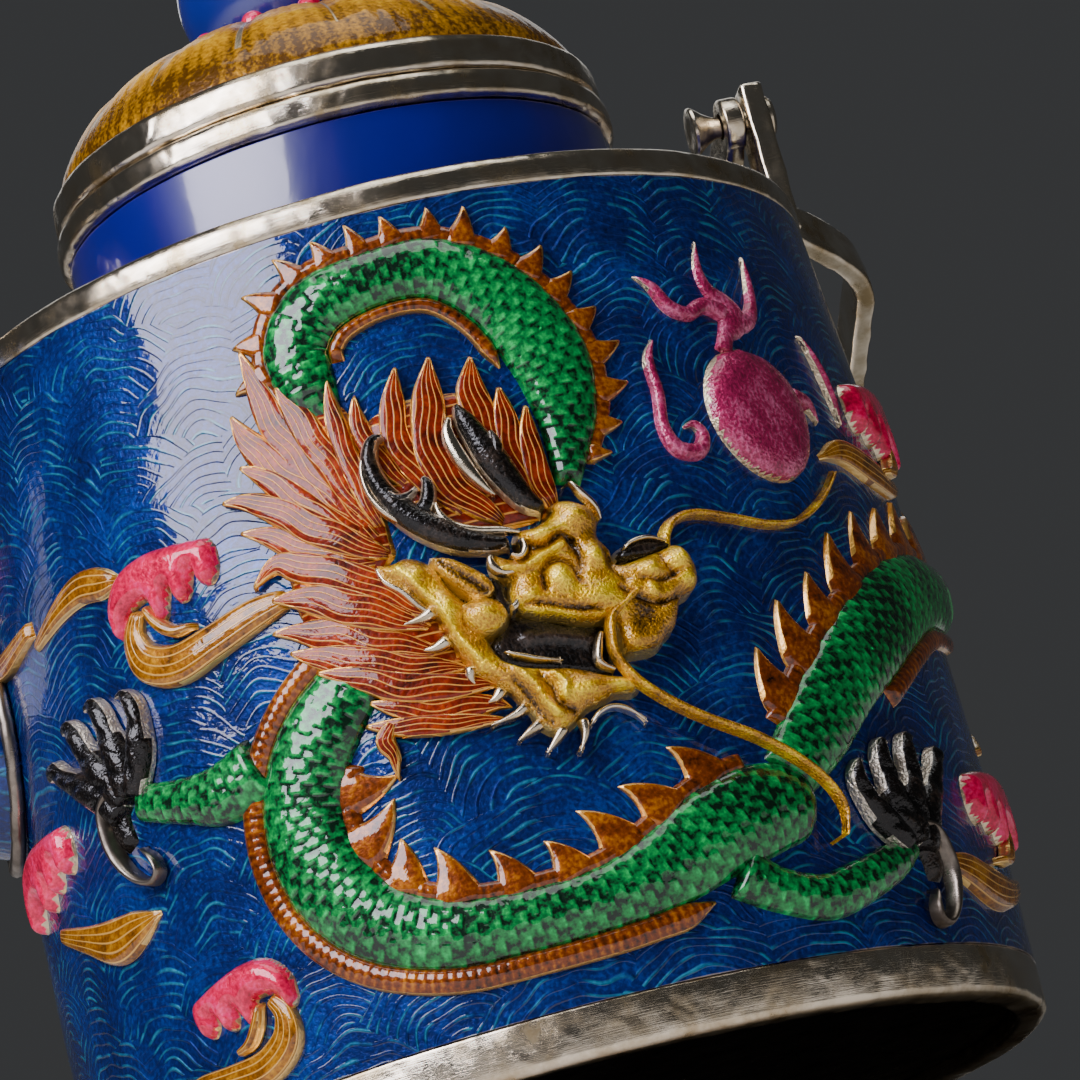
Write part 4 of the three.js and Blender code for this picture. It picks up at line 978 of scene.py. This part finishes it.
def makeClouds():
    crests, ribbons = [], []
    for s, z, size, mirror, lean, parts in cloudPlan:
        cos, sin = math.cos(math.radians(lean)), math.sin(math.radians(lean))

        def put(points):
            return [(s + size * (mirror * p[0] * cos - p[1] * sin), z + size * (mirror * p[0] * sin + p[1] * cos),
                     *(w * size for w in p[2:])) for p in points]

        crests.append(field(put(cloudShape["crest"]), 1.5, swell=1.5, lift=0.2, rim=0.06, step=0.25))
        for part in parts:
            proud, lift, across, wires = ribbonLook[part]
            ribbons.append(strand(put(cloudShape[part]), proud, lift=lift, across=across, step=0.3, edge=0.2,
                                  wires=wires, ends=(0.4, 0.6), flat=3.0))
    ribbons += [strand(route, 0.9, lift=0.1, across=18, step=0.35, edge=0.2, wires=2.5, ends=(0.5, 0.5), flat=3.0)
                for route in looseRibbons]
    joinStrands(crests, "cloud_crests", "pinkEnamel")
    joinStrands(ribbons, "cloud_ribbons", "honeyEnamel")


makeDragonBody()
makeFins()
makeBelly()
makeMane()
makeHead()
makeHornsAndMouth()
makeClaws()
makePearl()
makeClouds()
print("relief made")


lidLook = {
    "domeRadius": 26.6, "flatRadius": 9.0, "holeRadius": 2.4, "bottom": 102.0, "top": 112.0, "wall": 1.15,
    "petals": 16, "veins": 6, "petalRise": 0.5, "veinDepth": 0.06,
    "bosses": 14, "bossRing": 12.6, "bossRadius": 1.25,
}
knobLook = {"radius": 10.5, "middle": 119.2, "bottom": 113.75}


def domeHeight(radius):
    k = np.clip((radius - lidLook["flatRadius"]) / (lidLook["domeRadius"] - lidLook["flatRadius"]), 0, 1)
    return lidLook["bottom"] + (lidLook["top"] - lidLook["bottom"]) * (1 - k * k) ** 0.62


def makeDome():
    edge, hole = lidLook["domeRadius"], lidLook["holeRadius"]
    radii = list(np.linspace(edge, edge - 2, 8)) + list(np.linspace(edge - 2.4, hole, 50))
    outer = [(r, float(domeHeight(r))) for r in radii]
    inner = [(r - (1.2 if r > 20 else 0.5 if r > 4 else 0), float(domeHeight(r)) - lidLook["wall"])
             for r in radii[::4]]
    inner[0] = (edge - 1.2, lidLook["bottom"])
    piece = turnedPiece(outer + inner[::-1], turns=360)
    places = readPlaces(piece)
    radius = np.hypot(places[:, 0], places[:, 1]) / mm
    angle = np.arctan2(places[:, 1], places[:, 0])
    height = places[:, 2] / mm + pot["footDrop"]
    top = height > domeHeight(np.clip(radius, hole, edge)) - 0.35
    petal = np.abs(np.mod(angle / (2 * math.pi) * lidLook["petals"], 1) - 0.5) * 2
    vein = np.abs(np.mod(angle / (2 * math.pi) * lidLook["petals"] * lidLook["veins"], 1) - 0.5) * 2
    swell = (1 - petal ** 3) * np.clip((radius - 10) / 5, 0, 1) * np.clip((25.4 - radius) / 3, 0, 1)
    places[:, 2] += np.where(top, (lidLook["petalRise"] * swell - lidLook["veinDepth"] * (vein < 0.35)) * mm, 0)
    writePlaces(piece, places)
    # painted light and shade: the petals are lighter where they swell and darker in their veins and between them
    writeNumber(piece, "toneAndShade", np.where(top, 0.25 + 0.5 * swell - 0.15 * (vein < 0.35), 0.3))
    writeNumber(piece, "edge", np.where((petal > 0.93) & (radius > 10) & (radius < 25) & top, 0.8, 0.0))
    finishPiece(piece, "lid_dome_enamelled", "lid", finishes["domeEnamel"], ["lid_dome"], 60)


def makeKnob():
    radius, middle, bottom = knobLook["radius"], knobLook["middle"], knobLook["bottom"]
    points = [(0.0, bottom)]
    for angle in np.linspace(math.asin((bottom - middle) / radius), math.pi / 2, 40)[:-1]:
        points.append((radius * math.cos(angle), middle + radius * math.sin(angle)))
    points.append((0.0, middle + radius))
    ball = turnedPiece(points, turns=128, ring=False)
    finishPiece(ball, "knob_ball", "lid", finishes["knobEnamel"], ["knob"], 50)
    seat = turnedPiece(rounded([(2.0, 112.1), (8.0, 112.1), (8.6, 112.9), (8.2, 113.7), (2.0, 113.7)], 0.35), turns=96)
    finishPiece(seat, "knob_seat", "lid", finishes["silver"], ["knob_collar"], 50)


def makeBosses():
    # a ring of pink glass beads fired on the dome, round the knob
    made = []
    for i in range(lidLook["bosses"]):
        angle = 2 * math.pi * (i + 0.5) / lidLook["bosses"]
        radius = lidLook["bossRing"]
        place = (radius * math.cos(angle) * mm, radius * math.sin(angle) * mm,
                 (float(domeHeight(radius)) + 0.35 - pot["footDrop"]) * mm)
        bpy.ops.mesh.primitive_uv_sphere_add(segments=20, ring_count=12, radius=lidLook["bossRadius"] * mm,
                                             location=place)
        bpy.ops.object.transform_apply(location=True, rotation=False, scale=False)
        made.append(bpy.context.object)
    for bead in made:
        writeNumber(bead, "toneAndShade", np.full(len(bead.data.vertices), 0.55))
        writeNumber(bead, "edge", np.zeros(len(bead.data.vertices)))
    pick(made)
    bpy.ops.object.join()
    finishPiece(made[0], "lid_bosses", "lid", finishes["pinkEnamel"], ["lid_dome"])


makeDome()
makeKnob()
makeBosses()
print("lid made")


spoutLook = {"route": [(-41.5, 48.6), (-61, 52), (-63, 72), (-83, 86)], "rootTall": 11.0, "rootWide": 8.6,
             "mouth": 5.8, "wall": 1.1, "wire": 0.75, "lipOut": 0.6, "lipLength": 1.5}


def spoutSpot(along, angle, outside):
    # a spot on the oval tube: how far along it, where round it, and how far outside its face
    a, b, c, d = (np.array(p, float) for p in spoutLook["route"])
    t = np.asarray(along, float)[:, None]
    spot = (1 - t) ** 3 * a + 3 * (1 - t) ** 2 * t * b + 3 * (1 - t) * t ** 2 * c + t ** 3 * d
    head = 3 * ((1 - t) ** 2 * (b - a) + 2 * (1 - t) * t * (c - b) + t ** 2 * (d - c))
    head /= np.linalg.norm(head, axis=1)[:, None]
    taper = (1 - t[:, 0]) ** 1.5
    tall = spoutLook["mouth"] + (spoutLook["rootTall"] - spoutLook["mouth"]) * taper + outside
    wide = spoutLook["mouth"] + (spoutLook["rootWide"] - spoutLook["mouth"]) * taper + outside
    x = spot[:, 0] + head[:, 1] * np.sin(angle) * tall
    z = spot[:, 1] - head[:, 0] * np.sin(angle) * tall
    return x, np.cos(angle) * wide, z, spot, head


def makeSpout():
    bpy.ops.mesh.primitive_grid_add(x_subdivisions=90, y_subdivisions=72, size=1)
    tube = bpy.context.object
    flat = readPlaces(tube)
    along, angle = flat[:, 0] + 0.5, (flat[:, 1] + 0.5) * 2 * math.pi
    x, y, z, _, _ = spoutSpot(along, angle, 0.0)
    # the root is cut to the wall
    x = np.minimum(x, -np.sqrt(np.maximum((wallRadius(z) + 0.05) ** 2 - y ** 2, 0)))
    writePlaces(tube, np.stack([x, y, z - pot["footDrop"]], 1) * mm)
    writeUv(tube, along * 62, angle * 7)
    writeNumber(tube, "toneAndShade", np.full(len(along), 0.5))
    writeNumber(tube, "edge", np.zeros(len(along)))
    tidyMesh(tube)
    skin = tube.modifiers.new("wall", "SOLIDIFY")
    skin.thickness = spoutLook["wall"] * mm
    skin.offset = -1
    applyModifiers(tube)
    finishPiece(tube, "spout_tube", "vessel", finishes["seaEnamel"], ["spout_body"], 50)

    # the bent wire soldered round the root
    loop = []
    for turn in np.linspace(0, 2 * math.pi, 72, endpoint=False):
        run = np.linspace(0, 0.6, 400)
        x, y, z, _, _ = spoutSpot(run, np.full(400, turn), spoutLook["wire"] + 0.05)
        first = int(np.argmax(np.hypot(x, y) > wallRadius(z) + spoutLook["wire"]))
        loop.append((x[first] * mm, y[first] * mm, (z[first] - pot["footDrop"]) * mm))
    line = bpy.data.curves.new("root_wire", "CURVE")
    line.dimensions = "3D"
    line.bevel_depth = spoutLook["wire"] * mm
    line.bevel_resolution = 3
    path = line.splines.new("POLY")
    path.points.add(len(loop) - 1)
    for point, spot in zip(path.points, loop):
        point.co = (*spot, 1)
    path.use_cyclic_u = True
    wire = bpy.data.objects.new("root_wire", line)
    bpy.context.scene.collection.objects.link(wire)
    pick([wire])
    bpy.ops.object.convert(target="MESH")
    wire = bpy.context.object
    tidyMesh(wire)
    finishPiece(wire, "spout_root_wire", "vessel", finishes["greySilver"], ["spout_collar"])

    # the ring on the mouth
    inner, outer = spoutLook["mouth"] - spoutLook["wall"], spoutLook["mouth"] + spoutLook["lipOut"]
    length = spoutLook["lipLength"]
    ring = turnedPiece(rounded([(inner, 0.05), (outer, 0.05), (outer, length), (inner, length)], 0.4), turns=72)
    places = readPlaces(ring)
    places[:, 2] += pot["footDrop"] * mm
    _, _, _, spot, head = spoutSpot([1.0], np.zeros(1), 0.0)
    (endX, endZ), (headX, headZ) = spot[0], head[0]
    writePlaces(ring, np.stack([endX * mm + places[:, 2] * headX + places[:, 0] * headZ, places[:, 1],
                                (endZ - pot["footDrop"]) * mm + places[:, 2] * headZ - places[:, 0] * headX], 1))
    tidyMesh(ring)
    finishPiece(ring, "spout_mouth_ring", "vessel", finishes["silver"], ["spout_lip"], 50)


makeSpout()
print("spout made")


ear = {"axis": 96.0, "bottom": 83.15, "top": 99.2, "inner": 41.9, "outer": 44.2, "half": 2.6, "hole": 1.35,
       "bevel": 0.45, "uneven": 0.09}
pinLook = {"flareInner": 36.3, "flareOuter": 38.8, "flare": 2.5, "shank": 1.1, "head": 2.2, "headDepth": 0.9}
bailLook = {"thick": 2.0, "half": 2.7, "rest": -20.0, "eye": 40.5, "bow": 56.6, "reach": 92.0, "shoulderStart": 7.0,
            "shoulderEnd": 31.0, "corner": 15.0, "edge": 0.55, "eyeEdge": 0.35, "cut": 1.4, "uneven": 0.08}


def cutHole(piece, x, z, radius):
    bpy.ops.mesh.primitive_cylinder_add(vertices=48, radius=radius * mm, depth=8 * mm, rotation=(0, math.pi / 2, 0),
                                        location=(x * mm, 0, z * mm))
    tool = bpy.context.object
    cut = piece.modifiers.new("hole", "BOOLEAN")
    cut.operation = "DIFFERENCE"
    cut.object = tool
    applyModifiers(piece)
    bpy.data.objects.remove(tool)


def hammered(piece, amount, size):
    # shallow dents all over a strap
    places = readPlaces(piece)
    x, y, z = (places / mm).T
    places[:, 0] += wobble(y + x, z, size) * amount * mm
    places[:, 1] += wobble(z + 4, x + y, size) * amount * mm
    places[:, 2] += wobble(x + 7, y, size) * amount * 0.6 * mm
    writePlaces(piece, places)


def makeEars():
    for side, turn in (("right", 1), ("left", -1)):
        low, high = ear["bottom"] - pot["footDrop"], ear["top"] - pot["footDrop"]
        bpy.ops.mesh.primitive_cube_add(size=1)
        strap = bpy.context.object
        strap.scale = ((ear["outer"] - ear["inner"]) * mm, ear["half"] * 2 * mm, (high - low) * mm)
        strap.location = ((ear["outer"] + ear["inner"]) / 2 * mm, 0, (high + low) / 2 * mm)
        bpy.ops.object.transform_apply(location=True, rotation=False, scale=True)
        soft = strap.modifiers.new("bevel", "BEVEL")
        soft.width = ear["bevel"] * mm
        soft.segments = 4
        applyModifiers(strap)
        bpy.ops.object.mode_set(mode="EDIT")
        bpy.ops.mesh.select_all(action="SELECT")
        bpy.ops.mesh.quads_convert_to_tris()
        bpy.ops.mesh.subdivide(number_cuts=7)
        bpy.ops.object.mode_set(mode="OBJECT")
        cutHole(strap, (ear["outer"] + ear["inner"]) / 2, ear["axis"] - pot["footDrop"], ear["hole"])
        hammered(strap, ear["uneven"], 1.5)
        places = readPlaces(strap)
        places[:, :2] *= turn
        writePlaces(strap, places)
        tidyMesh(strap, 0.000002)
        finishPiece(strap, "ear_" + side, "vessel", finishes["silver"], ["lug_" + side], 45)

        # the pivot pin: trumpet head inside, shank, and a peened head outside
        start, face, shank, head = pinLook["flareInner"], ear["outer"] + 0.05, pinLook["shank"], pinLook["head"]
        profile = [(0, start + 0.35), (1.1, start + 0.15), (2.1, start), (2.45, start + 0.1),
                   (pinLook["flare"], start + 0.35), (2.2, start + 0.8), (1.7, start + 1.4), (1.35, start + 2.0),
                   (shank, pinLook["flareOuter"]), (shank, face), (head, face), (head - 0.05, face + 0.3),
                   (1.8, face + 0.65), (1.1, face + 0.85), (0, face + pinLook["headDepth"])]
        pin = turnedPiece(profile, turns=40, ring=False)
        places = readPlaces(pin)
        x = places[:, 2] + pot["footDrop"] * mm
        writePlaces(pin, np.stack([x * turn, places[:, 1] * turn,
                                   places[:, 0] + (ear["axis"] - pot["footDrop"]) * mm], 1))
        tidyMesh(pin, 0.000002)
        finishPiece(pin, "pivot_pin_" + side + "_turned", "vessel", finishes["silver"],
                    ["pivot_pin_" + side], 35)


def bailLine():
    # half of the strap's line in its own plane, pivot to crossbar, then its mirror
    k = bailLook
    t = np.linspace(0, 1, 24)[:, None]

    def bend(*p):
        p = [np.array(q, float) for q in p]
        if len(p) == 3:
            return (1 - t) ** 2 * p[0] + 2 * (1 - t) * t * p[1] + t ** 2 * p[2]
        return (1 - t) ** 3 * p[0] + 3 * (1 - t) ** 2 * t * p[1] + 3 * (1 - t) * t ** 2 * p[2] + t ** 3 * p[3]

    start, end, bow, reach, corner = k["shoulderStart"], k["shoulderEnd"], k["bow"], k["reach"], k["corner"]
    half = np.vstack([
        [(k["eye"], 0)],
        bend((k["eye"], start), (k["eye"] + 1, start + 9), (bow, end - 9), (bow, end)),
        bend((bow, reach - corner), (bow, reach), (bow - corner, reach)),
        [(0, reach)],
    ])
    whole = np.vstack([half, half[::-1][1:] * (-1, 1)])
    lengths = np.concatenate([[0], np.cumsum(np.linalg.norm(np.diff(whole, axis=0), axis=1))])
    return lengths, whole


def makeBail():
    lengths, whole = bailLine()
    total = lengths[-1]
    bpy.ops.mesh.primitive_cube_add(size=1)
    strap = bpy.context.object
    strap.scale = (bailLook["thick"] * mm, total * mm, bailLook["half"] * 2 * mm)
    bpy.ops.object.transform_apply(location=False, rotation=False, scale=True)
    soft = strap.modifiers.new("bevel", "BEVEL")
    soft.width = bailLook["edge"] * mm
    soft.segments = 3
    applyModifiers(strap)
    pick([strap])
    bpy.ops.object.mode_set(mode="EDIT")
    cuts = int(total / bailLook["cut"])
    for step in range(cuts):
        bpy.ops.mesh.select_all(action="SELECT")
        bpy.ops.mesh.bisect(plane_co=(0, (-total / 2 + (step + 1) * total / (cuts + 1)) * mm, 0), plane_no=(0, 1, 0))
    for height in (-bailLook["half"] / 2, 0, bailLook["half"] / 2):
        bpy.ops.mesh.select_all(action="SELECT")
        bpy.ops.mesh.bisect(plane_co=(0, 0, height * mm), plane_no=(0, 0, 1))
    bpy.ops.object.mode_set(mode="OBJECT")
    places = readPlaces(strap) / mm
    along = places[:, 1] + total / 2
    side, width = places[:, 0].copy(), places[:, 2].copy()
    centre = np.stack([np.interp(along, lengths, whole[:, i]) for i in (0, 1)], 1)
    head = np.stack([np.interp(along + 0.6, lengths, whole[:, i]) - np.interp(along - 0.6, lengths, whole[:, i])
                     for i in (0, 1)], 1)
    head /= np.linalg.norm(head, axis=1)[:, None]
    dents = bailLook["uneven"] * wobble(along, width * 1.6, 1.8)
    side = side * (1 + dents)
    width = width * (1 + 0.4 * dents)
    writePlaces(strap, np.stack([centre[:, 0] + head[:, 1] * side, centre[:, 1] - head[:, 0] * side, width], 1) * mm)
    for turn in (-1, 1):
        bpy.ops.mesh.primitive_cylinder_add(vertices=48, radius=bailLook["half"] * mm, depth=bailLook["thick"] * mm,
                                            rotation=(0, math.pi / 2, 0), location=(turn * bailLook["eye"] * mm, 0, 0))
        disc = bpy.context.object
        bpy.ops.object.transform_apply(location=True, rotation=True, scale=False)
        soft = disc.modifiers.new("bevel", "BEVEL")
        soft.width = bailLook["eyeEdge"] * mm
        soft.segments = 3
        soft.limit_method = "ANGLE"
        applyModifiers(disc)
        join = strap.modifiers.new("eye", "BOOLEAN")
        join.operation = "UNION"
        join.object = disc
        applyModifiers(strap)
        bpy.data.objects.remove(disc)
        cutHole(strap, turn * bailLook["eye"], 0, ear["hole"])
    places = readPlaces(strap)
    lean = math.radians(bailLook["rest"])
    writePlaces(strap, np.stack([places[:, 0], places[:, 1] * math.cos(lean) - places[:, 2] * math.sin(lean),
                                 places[:, 1] * math.sin(lean) + places[:, 2] * math.cos(lean)
                                 + (ear["axis"] - pot["footDrop"]) * mm], 1))
    tidyMesh(strap, 0.000002)
    finishPiece(strap, "bail_strap", "bail", finishes["silver"], ["bail_handle"], 40)


makeEars()
makeBail()


def recolour(nodes, finish):
    for node in nodes:
        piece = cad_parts[node]
        piece.data.materials.clear()
        piece.data.materials.append(finishes[finish])


recolour(["lid_flange"], "greySilver")
recolour(["knob_screw", "knob_washer", "knob_nut"], "brass")
print("fittings made")


def makeStage():
    bpy.ops.mesh.primitive_plane_add(size=6, location=(0, 0, -(pot["footDrop"] + pot["floorGap"]) * mm))
    floor = bpy.context.object
    floor.name = "studio_floor"
    material, tree, shader = emptyMaterial("palePaintedBoard")
    shader.inputs["Base Color"].default_value = linear("#d9d6d0")
    shader.inputs["Roughness"].default_value = 0.7
    # the board is seen from above only, so a low view looks past it
    back = addNode(tree, "ShaderNodeNewGeometry", out="Backfacing")
    clear = addNode(tree, "ShaderNodeBsdfTransparent")
    mixed = addNode(tree, "ShaderNodeMixShader", [back, shader.outputs[0], clear])
    tree.links.new(mixed, tree.nodes["Material Output"].inputs[0])
    floor.data.materials.append(material)
    floor.visible_shadow = False   # so the low fill reaches the underside


makeStage()


lights = [
    # name, place, size in metres, power in watts, colour
    ("keyBox", (-0.375, -0.33, 0.36), (0.42, 0.34), 6.0, "#f4f2ff"),
    ("topBox", (0.05, -0.15, 0.62), (0.4, 0.4), 1.4, "#ffffff"),
    ("lowFill", (0.05, -0.60, -0.16), (0.5, 0.12), 0.4, "#e6edff"),
    ("backBox", (0.1, 0.6, 0.50), (0.5, 0.3), 0.5, "#ffffff"),
]


def makeLights():
    for name, place, size, power, colour in lights:
        data = bpy.data.lights.new(name, "AREA")
        data.shape = "RECTANGLE"
        data.size, data.size_y = size
        data.energy = power
        data.color = linear(colour)[:3]
        lamp = bpy.data.objects.new(name, data)
        bpy.context.scene.collection.objects.link(lamp)
        lamp.location = place
        aim = Vector((0, 0, 0.05)) - Vector(place)
        lamp.rotation_euler = aim.to_track_quat("-Z", "Y").to_euler()
    world = bpy.data.worlds.new("softStudio")
    world.use_nodes = True
    world.node_tree.nodes["Background"].inputs[0].default_value = linear("#c9ccd0")
    world.node_tree.nodes["Background"].inputs[1].default_value = 0.07
    bpy.context.scene.world = world


makeLights()


# millimetres and radians; the turn about the pot's axis is in degrees
view = {"distance": 505.33, "below": -75.3, "yaw": 0.020867, "pitch": 0.25730, "roll": -0.26460, "lens": 179.81,
        "turn": -10.0}


def makeCamera():
    # low in front of the pot and rolled, as a hand-held close-up
    yaw, pitch, roll = view["yaw"], view["pitch"], view["roll"]
    forward = Vector((math.sin(yaw) * math.cos(pitch), math.cos(yaw) * math.cos(pitch), math.sin(pitch)))
    right = forward.cross(Vector((0, 0, 1))).normalized()
    up = right.cross(forward)
    right2 = math.cos(roll) * right + math.sin(roll) * up
    up2 = -math.sin(roll) * right + math.cos(roll) * up
    turn = Matrix.Rotation(math.radians(view["turn"]), 4, "Z")
    place = Vector((0, -view["distance"], view["below"] - pot["footDrop"])) * mm
    base = Matrix((right2, up2, -forward)).transposed().to_4x4()
    data = bpy.data.cameras.new("camera")
    data.lens = view["lens"]
    data.sensor_width = 36
    data.clip_start = 0.01
    camera = bpy.data.objects.new("camera", data)
    bpy.context.scene.collection.objects.link(camera)
    camera.matrix_world = turn @ Matrix.Translation(place) @ base
    bpy.context.scene.camera = camera


makeCamera()
print("stage made")
